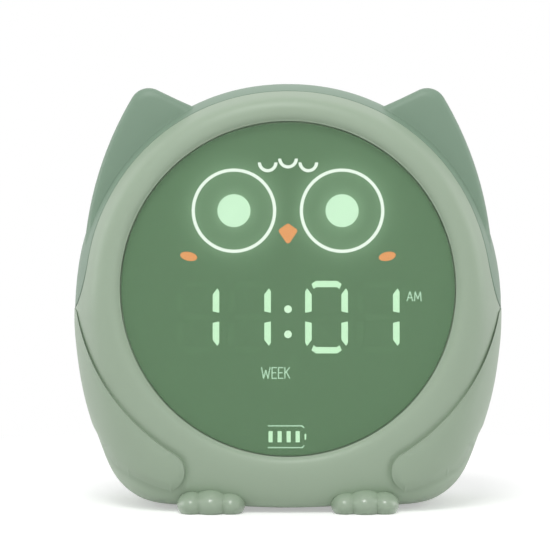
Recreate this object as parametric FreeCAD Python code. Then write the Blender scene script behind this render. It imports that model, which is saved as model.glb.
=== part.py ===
import FreeCAD, Part
import math
import os

# Owl-shaped alarm clock and night light, in millimetres.
# +X is to the right seen from the front, +Y to the back, +Z up; it stands on Z = 0.
# The lens and all behind it are laid out square to the lens, in a frame with its origin at the
# centre of the lens's front face, depth counted backwards, and then leaned back into the housing.

Vector = FreeCAD.Vector
UP = Vector(0, 0, 1)
BACK = Vector(0, 1, 0)
RIGHT = Vector(1, 0, 0)
ORIGIN = Vector(0, 0, 0)

# Lens and its place
LENS_RADIUS = 52.4
LENS_THICK = 2.0
LENS_LEAN = 5.0
LENS_Y = -28.6
LENS_Z = 70.3
LENS_GAP = 0.3

# Housing, measured from the lens centre where it says so
BODY_DEPTH = 65.6
BODY_HALF_WIDTH = 69.0
BODY_WIDEST = -7.6
BODY_TOP = 65.0
BASE_Z = 1.2
CROWN_FULLNESS = 2.07
SIDE_ARC = 118.0
BASE_CORNER = 17.0
BACK_HALF_WIDTH = 42.0
BACK_TOP = 40.0
BACK_BOTTOM = -50.0
WALL = 2.4

# Ring round the lens
RING_RISE = 1.5
RING_CREST = 2.6
RING_WIDTH = 5.6

# Seam between the front shell and the hood, with its lap joint
SEAM_DEPTH = 8.6
SEAM_SIDE_Z = 65.9
SEAM_SIDE_DROP = 7.0
SEAM_SIDE_TURN = 14.5
SEAM_BACK_DEPTH = 47.0
SEAM_BACK_TURN = 18.0
SEAM_BACK_SLANT = 3.0
SEAM_GAP = 0.5
LAP_LENGTH = 2.6
LAP_OUTER = 1.3
LAP_CLEARANCE = 0.15

# Ears
EAR_TIP_X = 46.5
EAR_TIP_Z = 133.7
EAR_TIP_RADIUS = 6.2
EAR_FRONT = 15.4
EAR_BACK = 33.0
EAR_BACK_DROP = 9.0
EAR_EDGE = 2.6

# Wings, a raised leaf on each side of the front shell
WING_RISE = 1.0
WING_FLARE = 1.6
WING_LIFT = 1.2
WING_FADE_Y = 8.0
WING_FADE_Z = 62.0

# Feet and pads
FOOT_X = 24.1
TOE_HALF_WIDTH = 6.5
TOE_HALF_LENGTH = 9.0
TOE_HALF_HEIGHT = 4.9
TOE_CENTRE_Z = 2.8
SIDE_TOE_SCALE = (0.77, 0.91, 0.88)
SIDE_TOE_DROP = 0.2
TOE_PITCH = 5.6
TOE_SPLAY = 8.0
TOE_FRONT_Y = -38.2
FOOT_PEG_RADIUS = 2.5
FOOT_PEG_LENGTH = 6.0
FOOT_PEG_CLEARANCE = 0.1
PAD_RADIUS = 5.0
PAD_X = 26.0
PAD_Y = 14.0
PAD_SEAT = 0.8

# Lens stack
MASK_THICK = 0.25
MASK_MARGIN = 0.2
TAPE_THICK = 0.2
TAPE_WIDTH = 1.4
LEDGE_WIDTH = 1.8
LEDGE_THICK = 2.2
STACK_CLEARANCE = 0.6
LIGHT_BOX_DEPTH = 10.0
WELL_DEPTH = 3.0
WELL_CLEARANCE = 0.12
LED_POCKET = 1.7
LED_SIZE = 1.2
LED_HEIGHT = 0.7

# Digits of the time
DIGIT_V = -8.9
DIGIT_INNER_U = 12.1
DIGIT_OUTER_U = 28.3
COLUMN_OFFSET = 5.69
COLUMN_WIDTH = 2.06
COLUMN_LENGTH = 7.7
COLUMN_RISE = 5.2
BAR_RISE = 10.4
BAR_LENGTH = 9.5
BAR_THICK = 2.0
COLON_UPPER_V = -6.4
COLON_LOWER_V = -14.3
COLON_RADIUS = 1.2

# Owl face behind the lens
DISC_U = 17.0
DISC_V = 24.6
DISC_RADIUS = 12.8
DISC_LINE = 1.0
EYE_RADIUS = 5.2
BEAK_V = 17.4
BEAK_WIDTH = 5.6
BEAK_HEIGHT = 6.4
CHEEK_U = 31.2
CHEEK_V = 10.2
CHEEK_LENGTH = 5.4
CHEEK_HEIGHT = 2.8
BROW_V = 41.0
BROW_PITCH = 6.4
BROW_RADIUS = 2.6
BROW_LINE = 1.0

# Battery sign and word lights
GAUGE_V = -46.4
GAUGE_PITCH = 2.83
GAUGE_BAR_WIDTH = 1.3
GAUGE_BAR_HEIGHT = 3.5
GAUGE_TIP_U = 5.45
AM_U = 40.0
AM_V = -2.4
WEEK_U = -3.3
WEEK_V = -26.4
WORD_HEIGHT = 3.6
AM_LENGTH = 5.8
WEEK_LENGTH = 10.4

# Night light
GLOW_RADIUS = 48.0
GLOW_WIDTH = 1.8
GLOW_OPEN_ANGLE = 34.0
GLOW_LED_COUNT = 10

# Display board and the posts that clamp it
BOARD_THICK = 1.6
BOARD_RADIUS = 58.0
POST_RADIUS_AT = 54.4
POST_ANGLE = 40.0
FRONT_POST_RADIUS = 2.9
REAR_POST_RADIUS = 4.2
SCREW_RADIUS = 1.45
SCREW_CLEARANCE = 0.25
SCREW_HEAD_RADIUS = 2.7
SCREW_HEAD_HEIGHT = 2.0
SCREW_GRIP = 6.0
SCREW_BITE = 5.5
BOX_SCREW_RADIUS = 0.95
BOX_SCREW_AT_U = 36.0
BOX_SCREW_AT_V = -26.0

# Rear controls
CONTROL_Z = 50.0
BUTTON_COUNT = 5
BUTTON_PITCH = 14.0
BUTTON_RADIUS = 4.3
BUTTON_GAP = 0.2
BUTTON_PROUD = 1.2
BUTTON_EDGE = 0.5
BUTTON_TRAVEL = 0.5
FLANGE_WIDTH = 1.0
FLANGE_THICK = 1.0
STEM_RADIUS = 1.5
PLUNGER_RADIUS = 1.6
PLUNGER_HEIGHT = 1.5
PLUNGER_IN_SWITCH = 0.7
SWITCH_SIZE = 6.0
SWITCH_HEIGHT = 3.5
CONTROL_BOARD_INSET = 10.8
CONTROL_BOARD_HALF_WIDTH = 37.0
CONTROL_BOARD_TOP = 62.0
CONTROL_BOARD_BOTTOM = 24.0
BOARD_HOLE_IN = 3.6
BOARD_POST_RADIUS = 2.6
BOARD_SCREW_RADIUS = 1.0

# Charging socket
USB_Z = 33.0
USB_WIDTH = 8.94
USB_HEIGHT = 3.26
USB_WALL = 0.3
USB_RECESS = 0.4
USB_GAP = 0.35
USB_TONGUE_WIDTH = 6.69
USB_TONGUE_THICK = 0.7
USB_TONGUE_SHORT = 0.8

# Power slider
POWER_X = 21.0
POWER_TRAVEL = 4.0
KNOB_LENGTH = 5.0
KNOB_HEIGHT = 3.6
KNOB_GAP = 0.3
KNOB_PROUD = 0.6
POWER_BODY_LENGTH = 13.0
POWER_BODY_HEIGHT = 6.0
POWER_BODY_DEPTH = 5.0

# Speaker
SPEAKER_Z = 84.0
SPEAKER_RADIUS = 18.0
SPEAKER_FLANGE = 1.4
SPEAKER_DEPTH = 9.0
MAGNET_RADIUS = 10.0
MAGNET_HEIGHT = 5.0
CONE_RADIUS = 14.5
CONE_THICK = 0.5
GASKET_THICK = 0.8
GRILLE_RADIUS = 13.0
GRILLE_SLOT = 1.6
GRILLE_PITCH = 3.8
GRILLE_COUNT = 7
SEAT_WALL = 1.6
SEAT_CLEARANCE = 0.25

# Battery
CELL_RADIUS = 9.2
CELL_LENGTH = 65.0
CELL_Y = 0.0
CRADLE_WALL = 1.8
CRADLE_FLOOR = 2.0
CRADLE_CLEARANCE = 0.25
CRADLE_LIFT = 0.4

# Touch plate under the crown
TOUCH_HALF_WIDTH = 16.0
TOUCH_FRONT_Y = -6.0
TOUCH_BACK_Y = 12.0
TOUCH_THICK = 0.3
TOUCH_GAP = 0.15

# Leads
LEAD_RADIUS = 0.6
RIBBON_WIDTH = 12.0
RIBBON_THICK = 0.4

# Depths that follow from the stack, counted back from the lens's front face
MASK_FRONT = LENS_THICK
MASK_BACK = MASK_FRONT + MASK_THICK
LEDGE_FRONT = MASK_BACK + TAPE_THICK
LEDGE_BACK = LEDGE_FRONT + LEDGE_THICK
BOX_FRONT = MASK_BACK
BOX_BACK = BOX_FRONT + LIGHT_BOX_DEPTH
BOARD_FRONT = BOX_BACK
BOARD_BACK = BOARD_FRONT + BOARD_THICK
OPENING_RADIUS = LENS_RADIUS + LENS_GAP
LEDGE_RADIUS = LENS_RADIUS - LEDGE_WIDTH
BOX_RADIUS = LEDGE_RADIUS - STACK_CLEARANCE
BODY_BOTTOM = BASE_Z - LENS_Z
BACK_Y = LENS_Y + BODY_DEPTH
INNER_BACK_Y = BACK_Y - WALL
INNER_FLOOR_Z = BASE_Z + WALL
CONTROL_BOARD_BACK = BACK_Y - CONTROL_BOARD_INSET


def save(shape, node):
    shape.exportStep(os.path.join("parts", node + ".step"))


def cylinder(radius, base, direction, length):
    return Part.makeCylinder(radius, length, base, direction)


def tube(outer, inner, base, direction, length):
    return cylinder(outer, base, direction, length).cut(cylinder(inner, base, direction, length))


def block(x0, x1, y0, y1, z0, z1):
    return Part.makeBox(x1 - x0, y1 - y0, z1 - z0, Vector(x0, y0, z0))


def fuse_all(shapes):
    return shapes[0].multiFuse(shapes[1:]) if len(shapes) > 1 else shapes[0]


def lean(shape):
    """Moves a shape from the lens's own frame into the housing."""
    placed = shape.copy()
    placed.rotate(ORIGIN, RIGHT, -LENS_LEAN)
    placed.translate(Vector(0, LENS_Y, LENS_Z))
    return placed


def rounded_edges(points, radii):
    """Straight runs through the points, with a tangent arc of its own radius at each inner point."""
    edges = []
    start = points[0]
    for before, corner, after, radius in zip(points, points[1:], points[2:], radii):
        inward = (before - corner).normalize()
        outward = (after - corner).normalize()
        half_angle = inward.getAngle(outward) / 2
        reach = radius / math.tan(half_angle)
        middle = (inward + outward).normalize() * (radius / math.sin(half_angle) - radius)
        arc_start = corner + inward * reach
        arc_end = corner + outward * reach
        edges.append(Part.LineSegment(start, arc_start).toShape())
        edges.append(Part.Arc(arc_start, corner + middle, arc_end).toShape())
        start = arc_end
    edges.append(Part.LineSegment(start, points[-1]).toShape())
    return edges


def flat_shape(points):
    """A flat face through corner points."""
    return Part.Face(Part.makePolygon(points + [points[0]]))


def plate(points, front, back):
    """A plate in the lens's frame from (u, v) corners, between two depths."""
    face = flat_shape([Vector(u, front, v) for u, v in points])
    return face.extrude(BACK * (back - front))


def disc(u, v, radius, front, back):
    return cylinder(radius, Vector(u, front, v), BACK, back - front)


# Housing outline
# At each depth the outline is an egg: a full crown above its widest level, and below it side
# arcs that run through corner arcs into a flat base.
CROWN_STEP = 15
BELLY_STEP = 9


def belly_radius(direction, half_width, drop):
    """Distance from the widest level's centre to the side arc, corner arc or flat base."""
    run = abs(math.cos(direction))
    fall = math.sin(direction)
    side = SIDE_ARC - (BODY_HALF_WIDTH - half_width)
    corner = min(BASE_CORNER, drop / 2)
    side_x = half_width - side
    corner_x = side_x + math.sqrt(max((side - corner) ** 2 - (drop - corner) ** 2, 0.0))
    corner_z = corner - drop
    meet_x = side_x + (corner_x - side_x) * side / (side - corner)
    meet_z = corner_z * side / (side - corner)
    angle = math.atan2(fall, run)
    if angle >= math.atan2(meet_z, meet_x):
        along = run * side_x
        return along + math.sqrt(along ** 2 - side_x ** 2 + side ** 2)
    if angle >= math.atan2(-drop, corner_x):
        along = run * corner_x + fall * corner_z
        return along + math.sqrt(max(along ** 2 - corner_x ** 2 - corner_z ** 2 + corner ** 2, 0.0))
    return drop / -fall


def crown_radius(direction, half_width, rise, fullness):
    run = abs(math.cos(direction)) / half_width
    lift = abs(math.sin(direction)) / rise
    return (run ** fullness + lift ** fullness) ** (-1 / fullness)


def outline_wire(depth, leaning, half_width, widest, top, bottom, form, inset):
    """One closed outline; form goes from 0, a plain oval, to 1, the full egg."""
    half_width -= inset
    rise = top - inset - widest
    drop = widest - bottom - inset
    fullness = 2.0 + (CROWN_FULLNESS - 2.0) * form
    angles = list(range(0, 180, CROWN_STEP)) + list(range(180, 360, BELLY_STEP))
    points = []
    for angle in angles:
        direction = math.radians(angle)
        if angle <= 180:
            radius = crown_radius(direction, half_width, rise, fullness)
        else:
            oval = crown_radius(direction, half_width, drop, 2.0)
            radius = oval + form * (belly_radius(direction, half_width, drop) - oval)
        x = radius * math.cos(direction)
        z = widest + radius * math.sin(direction)
        y = LENS_Y + depth + leaning * math.tan(math.radians(LENS_LEAN)) * z
        points.append(Vector(x, y, LENS_Z + z))
    curve = Part.BSplineCurve()
    steps = [index / len(points) for index in range(len(points) + 1)]
    curve.interpolate(Points=points, PeriodicFlag=True, Parameters=steps)
    return Part.Wire([curve.toShape()])


def body_stations():
    """Depth, lean, half width, widest level, top, bottom and form of each outline."""
    lip = OPENING_RADIUS + 0.2
    crest = OPENING_RADIUS + RING_CREST
    edge = OPENING_RADIUS + RING_WIDTH
    ring = (edge, 0.0, edge, -edge - 2.0)
    full = (BODY_HALF_WIDTH, BODY_WIDEST, BODY_TOP, BODY_BOTTOM)
    rear = (BACK_HALF_WIDTH, BODY_WIDEST / 2, BACK_TOP, BACK_BOTTOM)

    def between(first, second, side_share, base_share):
        shares = (side_share, side_share, side_share, base_share)
        return tuple(a + (b - a) * share for a, b, share in zip(first, second, shares))

    return [
        (-0.2, 1.0, lip, 0.0, lip, -lip, 0.0),
        (-RING_RISE, 1.0, crest, 0.0, crest, -crest, 0.0),
        (-0.8, 1.0) + ring + (0.1,),
        (2.4, 1.0) + between(ring, full, 0.32, 0.80) + (0.4,),
        (SEAM_DEPTH - 0.6, 1.0) + between(ring, full, 0.55, 1.0) + (0.8,),
        (18.0, 0.8) + between(ring, full, 0.84, 1.0) + (1.0,),
        (32.0, 0.4) + full + (1.0,),
        (0.70 * BODY_DEPTH, 0.2) + between(full, rear, 0.08, 0.02) + (1.0,),
        (0.86 * BODY_DEPTH, 0.0) + between(full, rear, 0.33, 0.21) + (1.0,),
        (0.96 * BODY_DEPTH, 0.0) + between(full, rear, 0.68, 0.60) + (1.0,),
        (BODY_DEPTH, 0.0) + rear + (1.0,),
    ]


def body_solid(inset):
    """The whole body; with an inset it starts behind the lens ledge and ends inside the back."""
    wires = []
    for station in body_stations():
        depth = station[0]
        if inset:
            if depth < 0:
                continue
            depth = min(max(depth, LEDGE_BACK), BODY_DEPTH - inset)
        wires.append(outline_wire(depth, *station[1:], inset))
    return Part.makeLoft(wires, True, False)


outer_body = body_solid(0.0)
cavity = body_solid(WALL)
lap_body = body_solid(LAP_OUTER)
lap_room = body_solid(LAP_OUTER - LAP_CLEARANCE)


# Seam
# Seen from the side it drops behind the ring, turns back at the widest level and then down
# behind the belly.
SEAM_REACH = 100.0


def seam_side(shift):
    """All that lies in front of and below the seam, with the seam moved back and up by shift."""
    slope = math.tan(math.radians(LENS_LEAN))
    high_z = LENS_Z + 2 * BODY_TOP
    ring_y = LENS_Y + SEAM_DEPTH
    turn_z = SEAM_SIDE_Z - SEAM_SIDE_DROP
    line = [
        Vector(0, ring_y + slope * (high_z - LENS_Z), high_z),
        Vector(0, ring_y + slope * (SEAM_SIDE_Z - LENS_Z), SEAM_SIDE_Z),
        Vector(0, LENS_Y + SEAM_BACK_DEPTH, turn_z),
        Vector(0, LENS_Y + SEAM_BACK_DEPTH + SEAM_BACK_SLANT, -SEAM_REACH),
    ]
    edges = rounded_edges(line, [SEAM_SIDE_TURN, SEAM_BACK_TURN])
    front_y = LENS_Y - SEAM_REACH
    closing = [line[-1], Vector(0, front_y, -SEAM_REACH), Vector(0, front_y, high_z), line[0]]
    for first, second in zip(closing, closing[1:]):
        edges.append(Part.LineSegment(first, second).toShape())
    face = Part.Face(Part.Wire(edges))
    face.translate(Vector(-SEAM_REACH, shift, shift))
    return face.extrude(RIGHT * 2 * SEAM_REACH)


front_side = seam_side(0.0)
front_side_with_gap = seam_side(SEAM_GAP)
lap_side = seam_side(LAP_LENGTH)
lap_side_with_gap = seam_side(LAP_LENGTH + SEAM_GAP)


# Wings: the body turned a little outward and down shows as a raised leaf that fades out upwards
# and to the sides
WING_TOP = [(75.0, 70.0), (67.5, 62.0)]
WING_INNER = [(67.5, 62.0), (55.9, 37.4), (36.0, 18.9)]
WING_TIP = [(36.0, 18.9), (32.4, 12.0), (36.6, 7.1)]
WING_FEATHER = [(36.6, 7.1), (43.6, 9.0), (50.0, 11.9)]
WING_SECOND = [(50.0, 11.9), (54.4, 14.0), (58.2, 19.4)]
WING_LAST = [(58.2, 19.4), (64.0, 27.0), (75.0, 38.0)]


def wing_prism(side):
    def corner(point):
        return Vector(side * point[0], 0, point[1])

    edges = [Part.LineSegment(corner(WING_TOP[0]), corner(WING_TOP[1])).toShape()]
    for arc in (WING_INNER, WING_TIP, WING_FEATHER, WING_SECOND, WING_LAST):
        edges.append(Part.Arc(*[corner(point) for point in arc]).toShape())
    edges.append(Part.LineSegment(corner(WING_LAST[-1]), corner(WING_TOP[0])).toShape())
    face = Part.Face(Part.Wire(edges))
    face.translate(BACK * (LENS_Y - SEAM_REACH))
    return face.extrude(BACK * (SEAM_REACH - LENS_Y + WING_FADE_Y))


def wing_leaf(side):
    raised = outer_body.copy()
    raised.rotate(BACK * WING_FADE_Y, UP, side * WING_FLARE)
    raised.rotate(Vector(0, LENS_Y, WING_FADE_Z), RIGHT, -WING_LIFT)
    raised.translate(BACK * -WING_RISE)
    return raised.common(wing_prism(side)).common(front_side)


front_outer = outer_body.common(front_side).multiFuse([wing_leaf(-1), wing_leaf(1)])


# Ears: a flat-fronted peak on each side of the crown, sloping away behind
def ear_edges(side, shrink, drop):
    """Outline of one ear across the body; drop lowers the peak and draws it inward."""
    radius = EAR_TIP_RADIUS
    tip_x = EAR_TIP_X - 0.35 * drop - 0.5 * shrink
    tip_z = EAR_TIP_Z - drop - 1.2 * shrink
    centre = Vector(tip_x - 0.3 * radius, 0, tip_z - radius)

    def on_tip(angle):
        turn = math.radians(angle)
        return centre + Vector(radius * math.cos(turn), 0, radius * math.sin(turn))

    outer_start = on_tip(32)
    inner_start = on_tip(114)
    outer_foot = Vector(BODY_HALF_WIDTH - 4.0 - shrink, 0, LENS_Z + 13.7)
    outer_middle = Vector(BODY_HALF_WIDTH - 8.2 - shrink - 0.2 * drop, 0, LENS_Z + 35.7 - 0.5 * drop)
    inner_foot = Vector(0.52 * EAR_TIP_X, 0, LENS_Z + BODY_TOP - 10.2 - drop - shrink)
    inner_middle = (inner_start + inner_foot) * 0.5 + Vector(-0.1, 0, -0.25)
    root = Vector(0.30 * EAR_TIP_X, 0, LENS_Z - 4.0)
    arcs = [
        (outer_start, on_tip(80), inner_start),
        (inner_start, inner_middle, inner_foot),
        (outer_foot, outer_middle, outer_start),
    ]
    runs = [(inner_foot, root), (root, outer_foot)]

    def sided(points):
        return [Vector(side * point.x, 0, point.z) for point in points]

    tip_arc, inner_arc, outer_arc = [Part.Arc(*sided(arc)).toShape() for arc in arcs]
    inner_run, root_run = [Part.LineSegment(*sided(run)).toShape() for run in runs]
    return [tip_arc, inner_arc, inner_run, root_run, outer_arc]


def ear_wire(side, depth, shrink, drop):
    slope = math.tan(math.radians(LENS_LEAN))
    leaning = FreeCAD.Matrix()
    leaning.A23 = slope
    leaning.A24 = LENS_Y + depth - slope * LENS_Z
    return Part.Wire(ear_edges(side, shrink, drop)).transformGeometry(leaning)


def ear_solid(side, inset):
    front = EAR_FRONT + inset
    wires = [
        ear_wire(side, front, EAR_EDGE + inset, 0.0),
        ear_wire(side, front + 0.134 * EAR_EDGE, 0.5 * EAR_EDGE + inset, 0.0),
        ear_wire(side, front + 0.5 * EAR_EDGE, 0.134 * EAR_EDGE + inset, 0.0),
        ear_wire(side, front + EAR_EDGE, inset, 0.0),
        ear_wire(side, EAR_BACK - inset, inset, EAR_BACK_DROP),
    ]
    return Part.makeLoft(wires, True, True)


# Posts that clamp the display board between the two shells
def post_places():
    angles = (POST_ANGLE, 180 - POST_ANGLE, 180 + POST_ANGLE, -POST_ANGLE)
    return [
        (POST_RADIUS_AT * math.cos(math.radians(a)), POST_RADIUS_AT * math.sin(math.radians(a)))
        for a in angles
    ]


SCREW_SEAT = BOARD_BACK + SCREW_GRIP
SCREW_TIP = BOARD_FRONT - SCREW_BITE
SCREW_HOLE = SCREW_RADIUS + SCREW_CLEARANCE
PILOT_PLAY = 0.05

# Front shell
FOOT_PLACES = (-FOOT_X, FOOT_X)
FOOT_PEG_Y = LENS_Y + 6.0


def make_front_shell():
    shell = front_outer.fuse(lap_body.common(lap_side))
    shell = shell.cut(cavity)
    shell = shell.cut(lean(disc(0, 0, OPENING_RADIUS, -10.0, LEDGE_FRONT)))
    shell = shell.cut(lean(disc(0, 0, LEDGE_RADIUS, LEDGE_FRONT - 1.0, LEDGE_BACK + 1.0)))
    posts = [disc(u, v, FRONT_POST_RADIUS, LEDGE_BACK - 0.6, BOARD_FRONT) for u, v in post_places()]
    sockets = [
        cylinder(FOOT_PEG_RADIUS + 1.8, Vector(x, FOOT_PEG_Y, INNER_FLOOR_Z - 1.0), UP, FOOT_PEG_LENGTH)
        for x in FOOT_PLACES
    ]
    shell = shell.multiFuse([lean(post) for post in posts] + sockets)
    for u, v in post_places():
        shell = shell.cut(lean(disc(u, v, SCREW_RADIUS + PILOT_PLAY, SCREW_TIP - 0.5, BOARD_FRONT + 1.0)))
    for x in FOOT_PLACES:
        peg_hole = FOOT_PEG_RADIUS + FOOT_PEG_CLEARANCE
        shell = shell.cut(cylinder(peg_hole, Vector(x, FOOT_PEG_Y, -2.0), UP, 2.0 + BASE_Z + FOOT_PEG_LENGTH))
    for x in (-PAD_X, PAD_X):
        shell = shell.cut(cylinder(PAD_RADIUS + 0.1, Vector(x, PAD_Y, -2.0), UP, 2.0 + BASE_Z + PAD_SEAT))
    return shell


def toe(x, scale, splay, drop):
    """An egg-shaped toe lying on the floor."""
    half_width = TOE_HALF_WIDTH * scale[0]
    half_length = TOE_HALF_LENGTH * scale[1]
    half_height = TOE_HALF_HEIGHT * scale[2]
    stretch = FreeCAD.Matrix()
    stretch.scale(half_width, half_length, half_height)
    body = Part.makeSphere(1.0).transformGeometry(stretch)
    body.rotate(ORIGIN, UP, splay)
    body.translate(Vector(x, TOE_FRONT_Y + TOE_HALF_LENGTH, TOE_CENTRE_Z - drop))
    return body


def make_foot(side):
    centre = side * FOOT_X
    toes = [
        toe(centre, (1.0, 1.0, 1.0), 0.0, 0.0),
        toe(centre - TOE_PITCH, SIDE_TOE_SCALE, -TOE_SPLAY, SIDE_TOE_DROP),
        toe(centre + TOE_PITCH, SIDE_TOE_SCALE, TOE_SPLAY, SIDE_TOE_DROP),
    ]
    foot = toes[0].multiFuse(toes[1:])
    foot = foot.common(block(centre - 20, centre + 20, TOE_FRONT_Y - 5, FOOT_PEG_Y + 8, 0, 12))
    foot = foot.cut(front_outer)
    peg_top = BASE_Z + FOOT_PEG_LENGTH - 0.4
    foot = foot.fuse(cylinder(FOOT_PEG_RADIUS, Vector(centre, FOOT_PEG_Y, 0.4), UP, peg_top - 0.4))
    return foot


# Hood
def grille_slots():
    slots = []
    for index in range(GRILLE_COUNT):
        rise = (index - (GRILLE_COUNT - 1) / 2) * GRILLE_PITCH
        half = math.sqrt(max(GRILLE_RADIUS ** 2 - rise ** 2, 4.0)) - GRILLE_SLOT / 2
        z = SPEAKER_Z + rise
        depth = (INNER_BACK_Y - 1.0, BACK_Y + 4.0)
        slot = block(-half, half, *depth, z - GRILLE_SLOT / 2, z + GRILLE_SLOT / 2)
        ends = [
            cylinder(GRILLE_SLOT / 2, Vector(x, depth[0], z), BACK, depth[1] - depth[0])
            for x in (-half, half)
        ]
        slots.append(slot.multiFuse(ends))
    return slots


def rounded_bar(x, z, length, height, y0, y1):
    """A bar along Y with fully rounded ends, length along X."""
    radius = height / 2
    half = length / 2 - radius
    middle = block(x - half, x + half, y0, y1, z - radius, z + radius)
    ends = [cylinder(radius, Vector(x + end, y0, z), BACK, y1 - y0) for end in (-half, half)]
    return middle.multiFuse(ends)


BUTTON_PLACES = [(index - (BUTTON_COUNT - 1) / 2) * BUTTON_PITCH for index in range(BUTTON_COUNT)]
BOARD_HOLE_X = CONTROL_BOARD_HALF_WIDTH - BOARD_HOLE_IN
BOARD_HOLES = [
    (x, z)
    for x in (-BOARD_HOLE_X, BOARD_HOLE_X)
    for z in (CONTROL_BOARD_BOTTOM + BOARD_HOLE_IN, CONTROL_BOARD_TOP - BOARD_HOLE_IN)
]
CONTROL_BOARD_FRONT = CONTROL_BOARD_BACK - BOARD_THICK
SPEAKER_FACE_Y = INNER_BACK_Y - GASKET_THICK
SPEAKER_BACK_Y = SPEAKER_FACE_Y - SPEAKER_FLANGE


def make_hood():
    hood = outer_body.cut(front_side_with_gap)
    hood = hood.multiFuse([ear_solid(-1, 0.0), ear_solid(1, 0.0)])
    hood = hood.cut(lap_room.common(lap_side_with_gap))
    hood = hood.cut(cavity)
    for side in (-1, 1):
        hood = hood.cut(ear_solid(side, WALL))
    long_posts = [
        lean(disc(u, v, REAR_POST_RADIUS, BOARD_BACK, BODY_DEPTH)).common(outer_body)
        for u, v in post_places()
    ]
    board_posts = [
        cylinder(BOARD_POST_RADIUS, Vector(x, CONTROL_BOARD_BACK, z), BACK, INNER_BACK_Y + 1.0 - CONTROL_BOARD_BACK)
        for x, z in BOARD_HOLES
    ]
    board_posts = [post.common(outer_body) for post in board_posts]
    seat_inner = SPEAKER_RADIUS + SEAT_CLEARANCE
    seat_centre = Vector(0, SPEAKER_BACK_Y - 1.2, SPEAKER_Z)
    seat = tube(seat_inner + SEAT_WALL, seat_inner, seat_centre, BACK, INNER_BACK_Y + 0.5 - seat_centre.y)
    hooks = []
    for angle in (90, 210, 330):
        turn = math.radians(angle)
        hook = block(-2.0, 2.0, SPEAKER_BACK_Y - 1.2, SPEAKER_BACK_Y - 0.05, seat_inner - 1.6, seat_inner + 0.6)
        hook.rotate(ORIGIN, BACK, 90 - angle)
        hook.translate(Vector(0, 0, SPEAKER_Z))
        hooks.append(hook)
    hood = hood.multiFuse(long_posts + board_posts + [seat] + hooks)
    cuts = []
    for u, v in post_places():
        cuts.append(lean(disc(u, v, SCREW_HOLE, BOARD_BACK - 1.0, BODY_DEPTH)))
        cuts.append(lean(disc(u, v, SCREW_HEAD_RADIUS + 0.3, SCREW_SEAT, BODY_DEPTH + 12.0)))
    for x, z in BOARD_HOLES:
        cuts.append(cylinder(BOARD_SCREW_RADIUS + PILOT_PLAY, Vector(x, CONTROL_BOARD_BACK - 1, z), BACK, 6.0))
    for x in BUTTON_PLACES:
        cuts.append(cylinder(BUTTON_RADIUS + BUTTON_GAP, Vector(x, INNER_BACK_Y - 1, CONTROL_Z), BACK, WALL + 4))
    cuts += grille_slots()
    cuts.append(rounded_bar(0, USB_Z, USB_WIDTH + 2 * USB_GAP, USB_HEIGHT + 2 * USB_GAP,
                            INNER_BACK_Y - 1, BACK_Y + 3))
    cuts.append(rounded_bar(POWER_X, USB_Z, KNOB_LENGTH + POWER_TRAVEL + 2 * KNOB_GAP, KNOB_HEIGHT + 2 * KNOB_GAP,
                            INNER_BACK_Y - 1, BACK_Y + 3))
    return hood.cut(fuse_all(cuts[:8])).cut(fuse_all(cuts[8:]))


# Windows of the display: each is made between two depths and grown by a clearance
def column(u, v, mirror, flip, front, back, grow):
    """One upright segment; its outer end is pointed and its inner end slanted."""
    w = COLUMN_WIDTH / 2
    h = COLUMN_LENGTH / 2
    corners = [(w, -h), (-w, 0.45 - h), (-w, h - 1.9), (w - 0.6, h), (w, h - 1.0)]
    placed = [(u + mirror * a, v + flip * b) for a, b in corners]
    return grown_plate(placed, front, back, grow)


def bar(u, v, flip, front, back, grow):
    """One level segment at the top or bottom, with its ends bent towards the columns."""
    half = BAR_LENGTH / 2
    t = BAR_THICK / 2
    right = [(half - 1.4, t), (half, t - 1.0), (half - 0.7, -t - 0.6), (half - 1.5, -t)]
    corners = right + [(-a, b) for a, b in reversed(right)]
    return grown_plate([(u + a, v + flip * b) for a, b in corners], front, back, grow)


def middle_bar(u, v, front, back, grow):
    half = BAR_LENGTH / 2
    t = BAR_THICK / 2
    right = [(half - 1.0, t), (half, 0.0), (half - 1.0, -t)]
    corners = right + [(-a, b) for a, b in reversed(right)]
    return grown_plate([(u + a, v + b) for a, b in corners], front, back, grow)


def grown_plate(corners, front, back, grow):
    face = flat_shape([Vector(u, front, v) for u, v in corners])
    if grow:
        face = face.makeOffset2D(grow, 2, False, False, False)
    return face.extrude(BACK * (back - front))


def digit_windows(u, lit, front, back, grow):
    """Segments of one digit, those named in lit or, with a leading -, all the others."""
    makers = {
        "a": lambda: bar(u, DIGIT_V + BAR_RISE, 1, front, back, grow),
        "b": lambda: column(u + COLUMN_OFFSET, DIGIT_V + COLUMN_RISE, 1, 1, front, back, grow),
        "c": lambda: column(u + COLUMN_OFFSET, DIGIT_V - COLUMN_RISE, 1, -1, front, back, grow),
        "d": lambda: bar(u, DIGIT_V - BAR_RISE, -1, front, back, grow),
        "e": lambda: column(u - COLUMN_OFFSET, DIGIT_V - COLUMN_RISE, -1, -1, front, back, grow),
        "f": lambda: column(u - COLUMN_OFFSET, DIGIT_V + COLUMN_RISE, -1, 1, front, back, grow),
        "g": lambda: middle_bar(u, DIGIT_V, front, back, grow),
    }
    wanted = set(makers) - set(lit[1:]) if lit.startswith("-") else set(lit)
    return [makers[name]() for name in sorted(wanted)]


DIGITS = [(-DIGIT_OUTER_U, "bc"), (-DIGIT_INNER_U, "bc"), (DIGIT_INNER_U, "abcdef"), (DIGIT_OUTER_U, "bc")]


def lit_windows(front, back, grow):
    return [s for u, lit in DIGITS for s in digit_windows(u, lit, front, back, grow)]


def unlit_windows(front, back, grow):
    return [s for u, lit in DIGITS for s in digit_windows(u, "-" + lit, front, back, grow)]


def colon_windows(front, back, grow):
    return [disc(0, v, COLON_RADIUS + grow, front, back) for v in (COLON_UPPER_V, COLON_LOWER_V)]


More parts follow.
